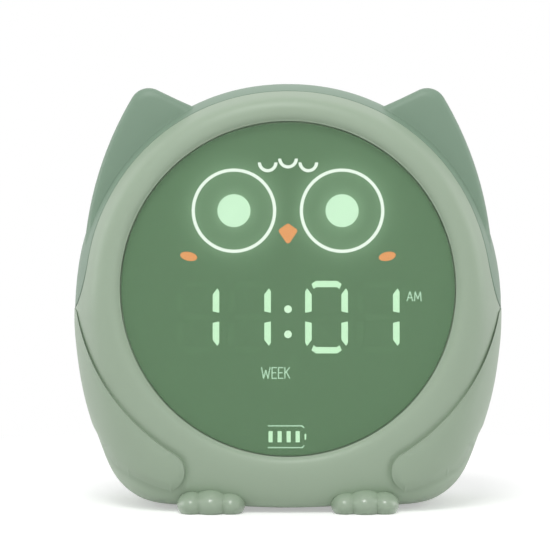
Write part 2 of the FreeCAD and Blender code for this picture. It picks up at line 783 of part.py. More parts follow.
def eye_windows(front, back, grow):
    return [disc(side * DISC_U, DISC_V, EYE_RADIUS + grow, front, back) for side in (-1, 1)]


def annulus(u, v, radius, line, front, back, grow):
    inner = disc(u, v, radius - line / 2 - grow, front, back)
    return disc(u, v, radius + line / 2 + grow, front, back).cut(inner)


def face_disc_windows(front, back, grow):
    return [annulus(side * DISC_U, DISC_V, DISC_RADIUS, DISC_LINE, front, back, grow) for side in (-1, 1)]


def brow_windows(front, back, grow):
    """Three small scallops of forehead feathers, open upwards."""
    marks = []
    for index in (-1, 0, 1):
        u = index * BROW_PITCH
        v = BROW_V - abs(index) * 1.2
        mark = annulus(u, v, BROW_RADIUS, BROW_LINE, front, back, grow)
        upper = block(u - 5, u + 5, front - 1, back + 1, v + grow, v + 5)
        marks.append(mark.cut(upper))
    return marks


def beak_windows(front, back, grow):
    w = BEAK_WIDTH / 2 - 0.7
    h = BEAK_HEIGHT / 2 - 0.9
    corners = [(0, BEAK_V - h), (w, BEAK_V + 0.35 * h), (0, BEAK_V + h), (-w, BEAK_V + 0.35 * h)]
    face = flat_shape([Vector(u, front, v) for u, v in corners])
    return [face.makeOffset2D(0.8 + grow, 0, False, False, False).extrude(BACK * (back - front))]


def cheek_windows(front, back, grow):
    ovals = []
    for side in (-1, 1):
        oval = Part.Ellipse(ORIGIN, CHEEK_LENGTH / 2 + grow, CHEEK_HEIGHT / 2 + grow).toShape()
        oval.rotate(ORIGIN, RIGHT, 90)
        oval.rotate(ORIGIN, BACK, -side * 12)
        oval.translate(Vector(side * CHEEK_U, front, CHEEK_V))
        ovals.append(Part.Face(Part.Wire([oval])).extrude(BACK * (back - front)))
    return ovals


def gauge_windows(front, back, grow):
    """Four level bars of the battery sign and its tip."""
    w = GAUGE_BAR_WIDTH / 2 + grow
    h = GAUGE_BAR_HEIGHT / 2 + grow
    bars = [
        block(u - w, u + w, front, back, GAUGE_V - h, GAUGE_V + h)
        for u in [(index - 2.0) * GAUGE_PITCH + 0.2 for index in range(4)]
    ]
    tip = block(GAUGE_TIP_U - 0.25 - grow, GAUGE_TIP_U + 0.25 + grow, front, back,
                GAUGE_V - 0.9 - grow, GAUGE_V + 0.9 + grow)
    return bars + [tip]


def word_windows(front, back, grow):
    """Plain light blocks behind the two words."""
    h = WORD_HEIGHT / 2 + grow
    places = [(AM_U, AM_V, AM_LENGTH), (WEEK_U, WEEK_V, WEEK_LENGTH)]
    return [
        block(u - length / 2 - grow, u + length / 2 + grow, front, back, v - h, v + h)
        for u, v, length in places
    ]


def glow_windows(front, back, grow):
    """Night-light guide: a ring round the display, open below for the battery sign."""
    ring = annulus(0, 0, GLOW_RADIUS, GLOW_WIDTH, front, back, grow)
    half = GLOW_OPEN_ANGLE / 2 - math.degrees(grow / GLOW_RADIUS)
    reach = BOX_RADIUS + 5.0
    spread = reach * math.tan(math.radians(half))
    wedge = plate([(0, 0), (-spread, -reach), (spread, -reach)], front - 1, back + 1)
    return [ring.cut(wedge)]


CUT_THROUGH = (lit_windows, unlit_windows, colon_windows, eye_windows, face_disc_windows,
               brow_windows, beak_windows, cheek_windows, gauge_windows)
BEHIND_MASK = (word_windows, glow_windows)


def led_places():
    places = []
    for u, _ in DIGITS:
        places += [(u + side * COLUMN_OFFSET, DIGIT_V + rise) for side in (-1, 1) for rise in (-COLUMN_RISE, COLUMN_RISE)]
        places += [(u, DIGIT_V + rise) for rise in (-BAR_RISE, 0, BAR_RISE)]
    places += [(0, COLON_UPPER_V), (0, COLON_LOWER_V), (0, BEAK_V)]
    for side in (-1, 1):
        places += [(side * DISC_U + a, DISC_V) for a in (-2.4, 2.4)]
        places += [
            (side * DISC_U + DISC_RADIUS * math.cos(a), DISC_V + DISC_RADIUS * math.sin(a))
            for a in [math.radians(60 * index) for index in range(6)]
        ]
        places.append((side * CHEEK_U, CHEEK_V))
    places += [(index * BROW_PITCH, BROW_V - abs(index) * 1.2 - BROW_RADIUS) for index in (-1, 0, 1)]
    places += [((index - 2.0) * GAUGE_PITCH + 0.2, GAUGE_V) for index in range(4)]
    places += [(AM_U, AM_V), (WEEK_U - 2.5, WEEK_V), (WEEK_U + 2.5, WEEK_V)]
    return places


def glow_led_places():
    span = 360 - GLOW_OPEN_ANGLE - 20
    first = -90 + (360 - span) / 2
    angles = [math.radians(first + span * index / (GLOW_LED_COUNT - 1)) for index in range(GLOW_LED_COUNT)]
    return [(GLOW_RADIUS * math.cos(a), GLOW_RADIUS * math.sin(a)) for a in angles]


def square_at(u, v, size, front, back):
    return block(u - size / 2, u + size / 2, front, back, v - size / 2, v + size / 2)


def box_screw_places():
    return [(a * BOX_SCREW_AT_U, b * BOX_SCREW_AT_V) for a in (-1, 1) for b in (-1, 1)]


def make_mask():
    film = disc(0, 0, LENS_RADIUS - MASK_MARGIN, MASK_FRONT, MASK_BACK)
    cuts = [s for maker in CUT_THROUGH for s in maker(MASK_FRONT - 1, MASK_BACK + 1, 0.0)]
    return film.cut(Part.makeCompound(cuts))


def make_light_box():
    box = disc(0, 0, BOX_RADIUS, BOX_FRONT, BOX_BACK)
    wells = [
        s for maker in CUT_THROUGH + BEHIND_MASK
        for s in maker(BOX_FRONT - 1, BOX_FRONT + WELL_DEPTH, WELL_CLEARANCE)
    ]
    pockets = [
        square_at(u, v, LED_POCKET, BOX_FRONT + WELL_DEPTH - 0.5, BOX_BACK + 1)
        for u, v in led_places() + glow_led_places()
    ]
    pilots = [
        disc(u, v, BOX_SCREW_RADIUS + PILOT_PLAY, BOX_BACK - 5.5, BOX_BACK + 1)
        for u, v in box_screw_places()
    ]
    box = box.cut(Part.makeCompound(wells))
    return box.cut(Part.makeCompound(pockets + pilots))


def make_display_board():
    board = disc(0, 0, BOARD_RADIUS, BOARD_FRONT, BOARD_BACK)
    holes = [disc(u, v, SCREW_HOLE, BOARD_FRONT - 1, BOARD_BACK + 1) for u, v in post_places()]
    holes += [
        disc(u, v, BOX_SCREW_RADIUS + 0.2, BOARD_FRONT - 1, BOARD_BACK + 1)
        for u, v in box_screw_places()
    ]
    return board.cut(Part.makeCompound(holes))


def screw(radius, head_radius, head_height, u, v, tip, seat):
    shank = disc(u, v, radius, tip, seat + 0.2)
    head = disc(u, v, head_radius, seat, seat + head_height)
    return shank.fuse(head)


# Rear controls
SWITCH_FACE = CONTROL_BOARD_BACK + SWITCH_HEIGHT
PLUNGER_TIP = SWITCH_FACE + PLUNGER_HEIGHT


def make_button(x):
    flange_back = INNER_BACK_Y
    cap = cylinder(BUTTON_RADIUS, Vector(x, flange_back - FLANGE_THICK, CONTROL_Z), BACK,
                   WALL + FLANGE_THICK + BUTTON_PROUD)
    rim = [edge for edge in cap.Edges if edge.BoundBox.YMin > BACK_Y]
    cap = cap.makeChamfer(BUTTON_EDGE, rim)
    flange = cylinder(BUTTON_RADIUS + FLANGE_WIDTH, Vector(x, flange_back - FLANGE_THICK, CONTROL_Z),
                      BACK, FLANGE_THICK)
    stem = cylinder(STEM_RADIUS, Vector(x, PLUNGER_TIP, CONTROL_Z), BACK,
                    flange_back - FLANGE_THICK - PLUNGER_TIP + 0.2)
    return cap.multiFuse([flange, stem])


def make_plunger(x):
    start = SWITCH_FACE - PLUNGER_IN_SWITCH
    return cylinder(PLUNGER_RADIUS, Vector(x, start, CONTROL_Z), BACK, PLUNGER_TIP - start)


def make_switch(x):
    half = SWITCH_SIZE / 2
    body = block(x - half, x + half, CONTROL_BOARD_BACK, SWITCH_FACE, CONTROL_Z - half, CONTROL_Z + half)
    room = PLUNGER_IN_SWITCH + BUTTON_TRAVEL + 0.4
    well = cylinder(PLUNGER_RADIUS + 0.15, Vector(x, SWITCH_FACE - room, CONTROL_Z), BACK, room + 1)
    return body.cut(well)


def make_control_board():
    board = block(-CONTROL_BOARD_HALF_WIDTH, CONTROL_BOARD_HALF_WIDTH, CONTROL_BOARD_FRONT,
                  CONTROL_BOARD_BACK, CONTROL_BOARD_BOTTOM, CONTROL_BOARD_TOP)
    corners = [edge for edge in board.Edges if abs(edge.tangentAt(edge.FirstParameter).y) > 0.9]
    board = board.makeFillet(2.0, corners)
    for x, z in BOARD_HOLES:
        board = board.cut(cylinder(BOARD_SCREW_RADIUS + 0.2, Vector(x, CONTROL_BOARD_FRONT - 1, z), BACK, 5))
    return board


def make_board_screw(x, z):
    shank = cylinder(BOARD_SCREW_RADIUS, Vector(x, CONTROL_BOARD_FRONT - 0.2, z), BACK, 6.0)
    head = cylinder(BOARD_SCREW_RADIUS * 1.9, Vector(x, CONTROL_BOARD_FRONT - 1.3, z), BACK, 1.3)
    return shank.fuse(head)


def make_usb_shell():
    y0 = CONTROL_BOARD_BACK
    y1 = BACK_Y - USB_RECESS
    outer = rounded_bar(0, USB_Z, USB_WIDTH, USB_HEIGHT, y0, y1)
    inner = rounded_bar(0, USB_Z, USB_WIDTH - 2 * USB_WALL, USB_HEIGHT - 2 * USB_WALL, y0 + 2.0, y1 + 1)
    return outer.cut(inner)


def make_usb_tongue():
    y0 = CONTROL_BOARD_BACK + 2.0
    y1 = BACK_Y - USB_RECESS - USB_TONGUE_SHORT
    return block(-USB_TONGUE_WIDTH / 2, USB_TONGUE_WIDTH / 2, y0, y1,
                 USB_Z - USB_TONGUE_THICK / 2, USB_Z + USB_TONGUE_THICK / 2)


SLIDER_SHAFT = 2.0
POWER_FACE = CONTROL_BOARD_BACK + POWER_BODY_DEPTH


def make_power_body():
    half = POWER_BODY_LENGTH / 2
    body = block(POWER_X - half, POWER_X + half, CONTROL_BOARD_BACK, POWER_FACE,
                 USB_Z - POWER_BODY_HEIGHT / 2, USB_Z + POWER_BODY_HEIGHT / 2)
    reach = (SLIDER_SHAFT + POWER_TRAVEL) / 2 + 0.3
    slot = block(POWER_X - reach, POWER_X + reach, POWER_FACE - 2.0, POWER_FACE + 1,
                 USB_Z - SLIDER_SHAFT / 2 - 0.2, USB_Z + SLIDER_SHAFT / 2 + 0.2)
    return body.cut(slot)


def make_power_slider():
    """Drawn in its off place, at the low-X end of its slot."""
    x = POWER_X - POWER_TRAVEL / 2
    shaft = block(x - SLIDER_SHAFT / 2, x + SLIDER_SHAFT / 2, POWER_FACE - 1.7, INNER_BACK_Y,
                  USB_Z - SLIDER_SHAFT / 2, USB_Z + SLIDER_SHAFT / 2)
    plate_half = KNOB_LENGTH / 2 + 0.8
    flange = block(x - plate_half, x + plate_half, INNER_BACK_Y - 1.2, INNER_BACK_Y - 0.2,
                   USB_Z - KNOB_HEIGHT / 2 - 0.8, USB_Z + KNOB_HEIGHT / 2 + 0.8)
    knob = rounded_bar(x, USB_Z, KNOB_LENGTH, KNOB_HEIGHT, INNER_BACK_Y - 0.4, BACK_Y + KNOB_PROUD)
    grip = [
        block(x + step - 0.25, x + step + 0.25, BACK_Y + KNOB_PROUD - 0.3, BACK_Y + KNOB_PROUD + 1,
              USB_Z - KNOB_HEIGHT, USB_Z + KNOB_HEIGHT)
        for step in (-1.1, 0.0, 1.1)
    ]
    return shaft.multiFuse([flange, knob]).cut(fuse_all(grip))


# Speaker
def cone_wall(radius_front, radius_back, y_front, y_back, wall):
    """A thin round wall that narrows from y_front down to y_back."""
    profile = Part.makePolygon([
        Vector(radius_front, y_front, 0),
        Vector(radius_front - wall, y_front, 0),
        Vector(radius_back - wall, y_back, 0),
        Vector(radius_back, y_back, 0),
        Vector(radius_front, y_front, 0),
    ])
    wall_shape = Part.Face(profile).revolve(ORIGIN, BACK, 360)
    wall_shape.translate(UP * SPEAKER_Z)
    return wall_shape


BASKET_BACK_Y = SPEAKER_BACK_Y - 4.5


def make_speaker_frame():
    flange = tube(SPEAKER_RADIUS, CONE_RADIUS + 0.4, Vector(0, SPEAKER_BACK_Y, SPEAKER_Z), BACK, SPEAKER_FLANGE)
    basket = cone_wall(CONE_RADIUS + 1.6, MAGNET_RADIUS, SPEAKER_BACK_Y + 0.2, BASKET_BACK_Y, 1.2)
    floor = cylinder(MAGNET_RADIUS, Vector(0, BASKET_BACK_Y, SPEAKER_Z), BACK, 1.0)
    return flange.multiFuse([basket, floor])


def make_speaker_cone():
    """Paper cone with its dust cap, hung inside the frame."""
    face_y = SPEAKER_FACE_Y - 0.9
    front = [(CONE_RADIUS - 0.3, 0.0), (5.0, -3.1), (3.2, -2.2), (0.0, -1.8)]
    back = [(radius, y - CONE_THICK) for radius, y in reversed(front)]
    corners = [Vector(radius, face_y + y, 0) for radius, y in front + back]
    cone = flat_shape(corners).revolve(ORIGIN, BACK, 360)
    cone.translate(UP * SPEAKER_Z)
    return cone


def make_magnet():
    return cylinder(MAGNET_RADIUS - 0.5, Vector(0, BASKET_BACK_Y - MAGNET_HEIGHT, SPEAKER_Z), BACK, MAGNET_HEIGHT)


def make_gasket():
    return tube(SPEAKER_RADIUS, CONE_RADIUS + 0.4, Vector(0, SPEAKER_FACE_Y, SPEAKER_Z), BACK, GASKET_THICK)


# Battery, lying along the bottom
CRADLE_Z = INNER_FLOOR_Z + CRADLE_LIFT
CELL_Z = CRADLE_Z + CRADLE_FLOOR + CELL_RADIUS + CRADLE_CLEARANCE


def make_cradle():
    half_length = CELL_LENGTH / 2 + CRADLE_CLEARANCE + CRADLE_WALL
    half_width = CELL_RADIUS + CRADLE_CLEARANCE + CRADLE_WALL
    cradle = block(-half_length, half_length, CELL_Y - half_width, CELL_Y + half_width,
                   CRADLE_Z, CELL_Z + 0.35 * CELL_RADIUS)
    bed = cylinder(CELL_RADIUS + CRADLE_CLEARANCE, Vector(-CELL_LENGTH / 2 - CRADLE_CLEARANCE, CELL_Y, CELL_Z),
                   RIGHT, CELL_LENGTH + 2 * CRADLE_CLEARANCE)
    reach = CELL_RADIUS + CRADLE_CLEARANCE
    mouth = block(-CELL_LENGTH / 2 - CRADLE_CLEARANCE, CELL_LENGTH / 2 + CRADLE_CLEARANCE,
                  CELL_Y - reach, CELL_Y + reach, CELL_Z, CELL_Z + 2 * CELL_RADIUS)
    window = block(-CELL_LENGTH / 4, CELL_LENGTH / 4, CELL_Y - 2 * half_width, CELL_Y + 2 * half_width,
                   CRADLE_Z + 2 * CRADLE_FLOOR, CELL_Z + 2 * CELL_RADIUS)
    return cradle.cut(bed).cut(mouth).cut(window)


def make_cell():
    return cylinder(CELL_RADIUS, Vector(-CELL_LENGTH / 2, CELL_Y, CELL_Z), RIGHT, CELL_LENGTH)


def make_strap():
    """A strap that follows the top of the cell and ends in the cradle's windows."""
    radius = CELL_RADIUS + 0.1
    band = tube(radius + 0.8, radius, Vector(-4.0, CELL_Y, CELL_Z), RIGHT, 8.0)
    below = block(-5, 5, CELL_Y - 2 * radius, CELL_Y + 2 * radius, CELL_Z - 2 * radius, CRADLE_Z + 2 * CRADLE_FLOOR + 0.3)
    return band.cut(below)


def make_touch_plate():
    upper = body_solid(WALL + TOUCH_GAP)
    lower = body_solid(WALL + TOUCH_GAP + TOUCH_THICK)
    window = block(-TOUCH_HALF_WIDTH, TOUCH_HALF_WIDTH, TOUCH_FRONT_Y, TOUCH_BACK_Y,
                   LENS_Z + 0.7 * BODY_TOP, LENS_Z + 2 * BODY_TOP)
    return upper.common(window).cut(lower)


# Leads
def lead(points, radius):
    """A round lead along straight runs joined by arcs."""
    radii = []
    for before, corner, after in zip(points, points[1:], points[2:]):
        first = (before - corner).Length
        second = (after - corner).Length
        half_angle = (before - corner).getAngle(after - corner) / 2
        radii.append(0.42 * min(first, second) * math.tan(half_angle))
    path = Part.Wire(rounded_edges(points, radii))
    start = path.Edges[0]
    circle = Part.Circle(points[0], start.tangentAt(start.FirstParameter), radius).toShape()
    return path.makePipeShell([Part.Wire([circle])], True, False)


TOUCH_UNDER_Z = LENS_Z + BODY_TOP - WALL - TOUCH_GAP - TOUCH_THICK
LEAD_ROUTES = {
    "speaker_lead": [(13, SPEAKER_BACK_Y, SPEAKER_Z - 10.5), (13, SPEAKER_BACK_Y - 3.4, SPEAKER_Z - 10.5),
                     (13, CONTROL_BOARD_BACK + 3.4, CONTROL_BOARD_TOP - 3),
                     (13, CONTROL_BOARD_BACK, CONTROL_BOARD_TOP - 3)],
    "battery_lead": [(CELL_LENGTH / 2, CELL_Y, CELL_Z + 5), (CELL_LENGTH / 2 + 5, CELL_Y, CELL_Z + 5),
                     (CELL_LENGTH / 2 - 2, CELL_Y + 10, CELL_Z + 14),
                     (28, CONTROL_BOARD_FRONT - 8, CONTROL_BOARD_BOTTOM + 11),
                     (28, CONTROL_BOARD_FRONT, CONTROL_BOARD_BOTTOM + 11)],
    "touch_lead": [(0, 3.4, TOUCH_UNDER_Z - 0.15), (0, 3.4, TOUCH_UNDER_Z - 12), (12, 8, TOUCH_UNDER_Z - 30),
                   (22, 14, CONTROL_BOARD_TOP + 14), (22, CONTROL_BOARD_FRONT - 7, CONTROL_BOARD_TOP - 6),
                   (22, CONTROL_BOARD_FRONT, CONTROL_BOARD_TOP - 6)],
}


def make_ribbon():
    """Flat cable from the display board to the control board."""
    start = lean(Part.Vertex(0, BOARD_BACK, -22.0)).Point
    end = Vector(0, CONTROL_BOARD_FRONT, CONTROL_BOARD_BOTTOM + 20)
    line = [start, start + Vector(0, 9, -1), end - Vector(0, 9, 0), end]
    path = Part.Wire(rounded_edges(line, [6.0, 6.0]))
    half = RIBBON_WIDTH / 2
    t = RIBBON_THICK / 2
    first = path.Edges[0].tangentAt(path.Edges[0].FirstParameter)
    across = first.cross(RIGHT).normalize() * t
    corners = [start + RIGHT * half + across, start - RIGHT * half + across,
               start - RIGHT * half - across, start + RIGHT * half - across]
    profile = Part.makePolygon(corners + [corners[0]])
    ribbon = path.makePipeShell([profile], True, False)
    ribbon.translate(RIGHT * -18.0)
    return ribbon.cut(lean(disc(0, 0, BOARD_RADIUS, BOARD_FRONT, BOARD_BACK)))


BUTTON_NAMES = ("time", "minus", "light", "plus", "alarm")


def build():
    stack = {
        "lens": disc(0, 0, LENS_RADIUS, 0, LENS_THICK),
        "lens_tape": annulus(0, 0, LENS_RADIUS - MASK_MARGIN - TAPE_WIDTH / 2, TAPE_WIDTH, MASK_BACK,
                             LEDGE_FRONT, 0),
        "display_mask": make_mask(),
        "light_box": make_light_box(),
        "display_board": make_display_board(),
    }
    groups = {
        "lit_digits": lit_windows,
        "unlit_digits": unlit_windows,
        "colon_dots": colon_windows,
        "eye_lights": eye_windows,
        "face_discs": face_disc_windows,
        "brow_marks": brow_windows,
        "beak_light": beak_windows,
        "cheek_lights": cheek_windows,
        "battery_gauge": gauge_windows,
        "word_lights": word_windows,
        "night_light_guide": glow_windows,
    }
    for node, maker in groups.items():
        stack[node] = Part.makeCompound(maker(BOX_FRONT, BOX_FRONT + WELL_DEPTH, 0.0))
    led_front = BOARD_FRONT - LED_HEIGHT
    stack["display_leds"] = Part.makeCompound(
        [square_at(u, v, LED_SIZE, led_front, BOARD_FRONT) for u, v in led_places()])
    stack["night_light_leds"] = Part.makeCompound(
        [square_at(u, v, LED_SIZE, led_front, BOARD_FRONT) for u, v in glow_led_places()])
    stack["box_screws"] = Part.makeCompound(
        [screw(BOX_SCREW_RADIUS, 1.8, 1.2, u, v, BOX_BACK - 5.0, BOARD_BACK) for u, v in box_screw_places()])
    stack["housing_screws"] = Part.makeCompound(
        [screw(SCREW_RADIUS, SCREW_HEAD_RADIUS, SCREW_HEAD_HEIGHT, u, v, SCREW_TIP, SCREW_SEAT)
         for u, v in post_places()])
    for node, shape in stack.items():
        save(lean(shape), node)
    save(make_front_shell(), "front_shell")
    save(make_hood(), "rear_hood")
    save(make_foot(-1), "left_foot")
    save(make_foot(1), "right_foot")
    pads = [cylinder(PAD_RADIUS, Vector(x, PAD_Y, 0), UP, BASE_Z + PAD_SEAT) for x in (-PAD_X, PAD_X)]
    save(Part.makeCompound(pads), "rear_pads")
    for name, x in zip(BUTTON_NAMES, BUTTON_PLACES):
        save(make_button(x), name + "_button")
        save(make_plunger(x), name + "_plunger")
    save(Part.makeCompound([make_switch(x) for x in BUTTON_PLACES]), "button_switches")
    save(make_control_board(), "control_board")
    save(Part.makeCompound([make_board_screw(x, z) for x, z in BOARD_HOLES]), "board_screws")
    save(make_usb_shell(), "usb_shell")
    save(make_usb_tongue(), "usb_tongue")
    save(make_power_body(), "power_switch")
    save(make_power_slider(), "power_slider")
    save(make_speaker_frame(), "speaker_frame")
    save(make_speaker_cone(), "speaker_cone")
    save(make_magnet(), "speaker_magnet")
    save(make_gasket(), "speaker_gasket")
    save(make_cradle(), "battery_cradle")
    save(make_cell(), "battery_cell")
    save(make_strap(), "battery_strap")
    save(make_touch_plate(), "touch_plate")
    for node, route in LEAD_ROUTES.items():
        save(lead([Vector(*point) for point in route], LEAD_RADIUS), node)
    save(make_ribbon(), "display_ribbon")


os.makedirs("parts", exist_ok=True)
build()
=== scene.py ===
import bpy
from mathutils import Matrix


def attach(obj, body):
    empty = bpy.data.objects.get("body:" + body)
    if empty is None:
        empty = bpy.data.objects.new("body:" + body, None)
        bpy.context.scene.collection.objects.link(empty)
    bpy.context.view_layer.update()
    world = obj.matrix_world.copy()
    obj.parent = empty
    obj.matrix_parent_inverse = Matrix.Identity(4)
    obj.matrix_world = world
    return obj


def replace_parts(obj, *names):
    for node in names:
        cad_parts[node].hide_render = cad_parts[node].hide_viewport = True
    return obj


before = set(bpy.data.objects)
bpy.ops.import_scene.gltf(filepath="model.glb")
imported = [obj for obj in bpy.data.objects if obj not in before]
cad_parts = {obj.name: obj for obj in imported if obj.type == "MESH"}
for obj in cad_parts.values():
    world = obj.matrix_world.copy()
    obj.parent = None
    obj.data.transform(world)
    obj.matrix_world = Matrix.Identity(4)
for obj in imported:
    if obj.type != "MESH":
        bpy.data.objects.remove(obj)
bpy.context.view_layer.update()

import math

import bpy
from bpy.props import FloatProperty, FloatVectorProperty, PointerProperty
from mathutils import Matrix, Vector

bl_info = {
    "name": "Owl Alarm Clock",
    "version": (1, 0, 0),
    "blender": (4, 5, 0),
    "location": "View3D > Sidebar > Owl Clock",
    "description": "Finishes, signs and stage of an owl-shaped alarm clock with night light",
    "category": "Object",
}

# Sizes are in metres. The display is laid out in millimetres square to the lens: u to the right,
# v up and depth backwards from the centre of the lens's front face.
MM = 0.001
LENS_LEAN = math.radians(5.0)
LENS_CENTRE = Vector((0.0, -28.6, 70.3)) * MM
LENS_RADIUS = 52.4
LENS_THICK = 2.0
LENS_BACK = 1.94
LENS_EDGE = 0.3
BACK_Y = 37.0
KEYS = ("time", "minus", "light", "plus", "alarm")
KEY_Z = 50.0
KEY_PITCH = 14.0
SIGN_Z = 58.0
PORT_Z = 33.0
SLIDER_X = 21.0
SCREW_RADIUS_AT = 54.4
SCREW_ANGLE = 40.0
SCREW_HEAD_DEPTH = 21.85


def srgb(red, green, blue):
    """A colour given as 0 to 255 screen values, in linear light."""
    def linear(value):
        share = value / 255.0
        return share / 12.92 if share <= 0.04045 else ((share + 0.055) / 1.055) ** 2.4

    return (linear(red), linear(green), linear(blue))


# Settings that a user would change
def colour(name, description, value):
    return FloatVectorProperty(
        name=name, description=description, subtype="COLOR", size=3, min=0.0, max=1.0, default=value
    )


class OwlColours(bpy.types.PropertyGroup):
    shell: colour("Shell", "Moulded front shell, keys and feet", srgb(168, 187, 164))
    hood: colour("Hood", "Moulded hood and ears", srgb(134, 160, 139))
    mask: colour("Mask", "Printed film behind the lens", srgb(121, 160, 120))
    light: colour("Light", "Lit digits and face lines", srgb(216, 255, 218))
    orange: colour("Orange", "Lit beak and cheeks", srgb(255, 152, 84))


class OwlSizes(bpy.types.PropertyGroup):
    stroke: FloatProperty(
        name="Stroke", description="Line width of the words on the display", default=0.32 * MM,
        min=0.05 * MM, max=1.0 * MM, unit="LENGTH", precision=5
    )
    glow: FloatProperty(
        name="Glow", description="Brightness of the lit windows", default=1.0, min=0.0, max=5.0,
        subtype="FACTOR"
    )
    camera_distance: FloatProperty(
        name="Camera distance", description="From the camera to the middle of the clock",
        default=900 * MM, min=0.2, max=5.0, unit="LENGTH"
    )


def tint_of(name):
    return tuple(getattr(bpy.context.scene.owl_colours, name))


def sizes():
    return bpy.context.scene.owl_sizes


# Shader maths
class Value:
    """A shader socket that can stand in a sum or a product."""

    def __init__(self, tree, socket):
        self.tree = tree
        self.socket = socket

    def math(self, operation, *others, clamp=False):
        node = self.tree.nodes.new("ShaderNodeMath")
        node.operation = operation
        node.use_clamp = clamp
        for port, item in zip(node.inputs, (self,) + others):
            connect(self.tree, port, item)
        return Value(self.tree, node.outputs[0])

    def __add__(self, other):
        return self.math("ADD", other)

    def __sub__(self, other):
        return self.math("SUBTRACT", other)

    def __rsub__(self, other):
        node = self.tree.nodes.new("ShaderNodeMath")
        node.operation = "SUBTRACT"
        connect(self.tree, node.inputs[0], other)
        connect(self.tree, node.inputs[1], self)
        return Value(self.tree, node.outputs[0])

    def __mul__(self, other):
        return self.math("MULTIPLY", other)

    def __truediv__(self, other):
        return self.math("DIVIDE", other)

    def __abs__(self):
        return self.math("ABSOLUTE")

    def clamped(self):
        return self.math("ADD", 0.0, clamp=True)


def connect(tree, port, item):
    if isinstance(item, Value):
        tree.links.new(item.socket, port)
    elif hasattr(item, "default_value"):
        tree.links.new(item, port)
    else:
        port.default_value = item


class Finish:
    """One procedural material and the nodes that it is built from."""

    def __init__(self, name):
        self.material = bpy.data.materials.new(name)
        self.material.use_nodes = True
        self.tree = self.material.node_tree
        self.tree.nodes.clear()
        self.output = self.tree.nodes.new("ShaderNodeOutputMaterial")

    def node(self, kind, settings=None, **inputs):
        node = self.tree.nodes.new(kind)
        for key, value in (settings or {}).items():
            setattr(node, key, value)
        for key, item in inputs.items():
            connect(self.tree, node.inputs[key.replace("_", " ")], item)
        return node

    def value(self, node, output=0):
        return Value(self.tree, node.outputs[output])

    def place(self):
        """Object coordinates in millimetres, as three values."""
        points = self.node("ShaderNodeTexCoord").outputs["Object"]
        split = self.node("ShaderNodeSeparateXYZ", Vector=points)
        return tuple(self.value(split, index) * 1000.0 for index in range(3))

    def noise(self, scale, detail=2.0, roughness=0.5):
        points = self.node("ShaderNodeTexCoord").outputs["Object"]
        node = self.node(
            "ShaderNodeTexNoise", Vector=points, Scale=scale, Detail=detail, Roughness=roughness
        )
        return self.value(node, "Fac")

    def mix(self, share, first, second):
        node = self.node("ShaderNodeMix", {"data_type": "RGBA"})
        connect(self.tree, node.inputs[0], share)
        for port, item in ((node.inputs[6], first), (node.inputs[7], second)):
            connect(self.tree, port, (*item, 1.0) if isinstance(item, tuple) else item)
        return node.outputs[2]

    def bump(self, height, strength, distance, **inputs):
        node = self.node(
            "ShaderNodeBump", Strength=strength, Distance=distance, Height=height, **inputs
        )
        return node.outputs["Normal"]

    def surface(self, base, roughness, **inputs):
        shader = self.node("ShaderNodeBsdfPrincipled")
        tint = (*base, 1.0) if isinstance(base, tuple) else base
        connect(self.tree, shader.inputs["Base Color"], tint)
        connect(self.tree, shader.inputs["Roughness"], roughness)
        for key, item in inputs.items():
            connect(self.tree, shader.inputs[key.replace("_", " ")], item)
        return shader

    def finish(self, shader):
        self.tree.links.new(shader.outputs[0], self.output.inputs["Surface"])
        return self.material


def shaded(tint, factor):
    return tuple(channel * factor for channel in tint)


def circle_through(first, second, third):
    """Centre and radius of the circle through three flat points."""
    a, b, c = [Vector(point) for point in (first, second, third)]
    across, along = b - a, c - a
    twist = 2 * (across.x * along.y - across.y * along.x)
    x = (along.y * across.length_squared - across.y * along.length_squared) / twist
    y = (across.x * along.length_squared - along.x * across.length_squared) / twist
    return a.x + x, a.y + y, math.hypot(x, y)


def between(value, low, high, soft):
    """One between two limits, and zero a little outside them."""
    return ((value - low) / soft).clamped() * ((high - value) / soft).clamped()


# Creases round each wing: arcs through three (x, z) points in millimetres, the span of x and z in
# which each arc counts, and how far it takes to fade out at the top
CREASE_FADE = 1.2
WING_CREASES = [
    ([(67.5, 62.0), (55.9, 37.4), (36.0, 18.9)], (30.0, 72.0), (18.0, 60.0), 34.0),
    ([(36.0, 18.9), (32.4, 12.0), (36.6, 7.1)], (28.0, 37.2), (5.0, 21.0), CREASE_FADE),
    ([(36.6, 7.1), (43.6, 9.0), (50.0, 11.9)], (36.0, 51.0), (5.0, 14.0), CREASE_FADE),
    ([(50.0, 11.9), (54.4, 14.0), (58.2, 19.4)], (49.6, 60.0), (10.0, 21.0), CREASE_FADE),
]
CREASE_END_Y = 6.0
# Share and tone of the painted shade that darkens the wing valleys, then the strength and depth of their
# bump
CREASE_PAINTED_SHADE_SHARE = 0.05
CREASE_SHADE = 0.45
CREASE_STRENGTH = 0.75
CREASE_DEPTH = 0.6


def wing_crease(finish):
    """How deep a point lies in the soft valley round the wings, from 0 to 1."""
    x, y, z = finish.place()
    x = abs(x)
    depth = None
    for arc, (x_low, x_high), (z_low, z_high), soft in WING_CREASES:
        centre_x, centre_z, radius = circle_through(*arc)
        away_x = x - centre_x
        away_z = z - centre_z
        away = (away_x * away_x + away_z * away_z).math("SQRT") - radius
        valley = (away * away * -0.5).math("EXPONENT")
        valley = valley * between(x, x_low, x_high, CREASE_FADE)
        valley = valley * ((z - z_low) / CREASE_FADE).clamped()
        valley = valley * ((z_high - z) / soft).clamped()
        depth = valley if depth is None else depth.math("MAXIMUM", valley)
    return depth * ((CREASE_END_Y - y) / CREASE_END_Y).clamped()


# Moulded plastic: its drift in tone, its grain in millimetres of depth, and its shine
DRIFT_SCALE = 18.0
DRIFT_TONES = (0.965, 1.02)
GRAIN_SCALE = 2600.0
GRAIN_DEPTH = 0.04
EDGE_SAMPLES = 6
PLASTIC_IOR = 1.46
COAT_ROUGHNESS = 0.25


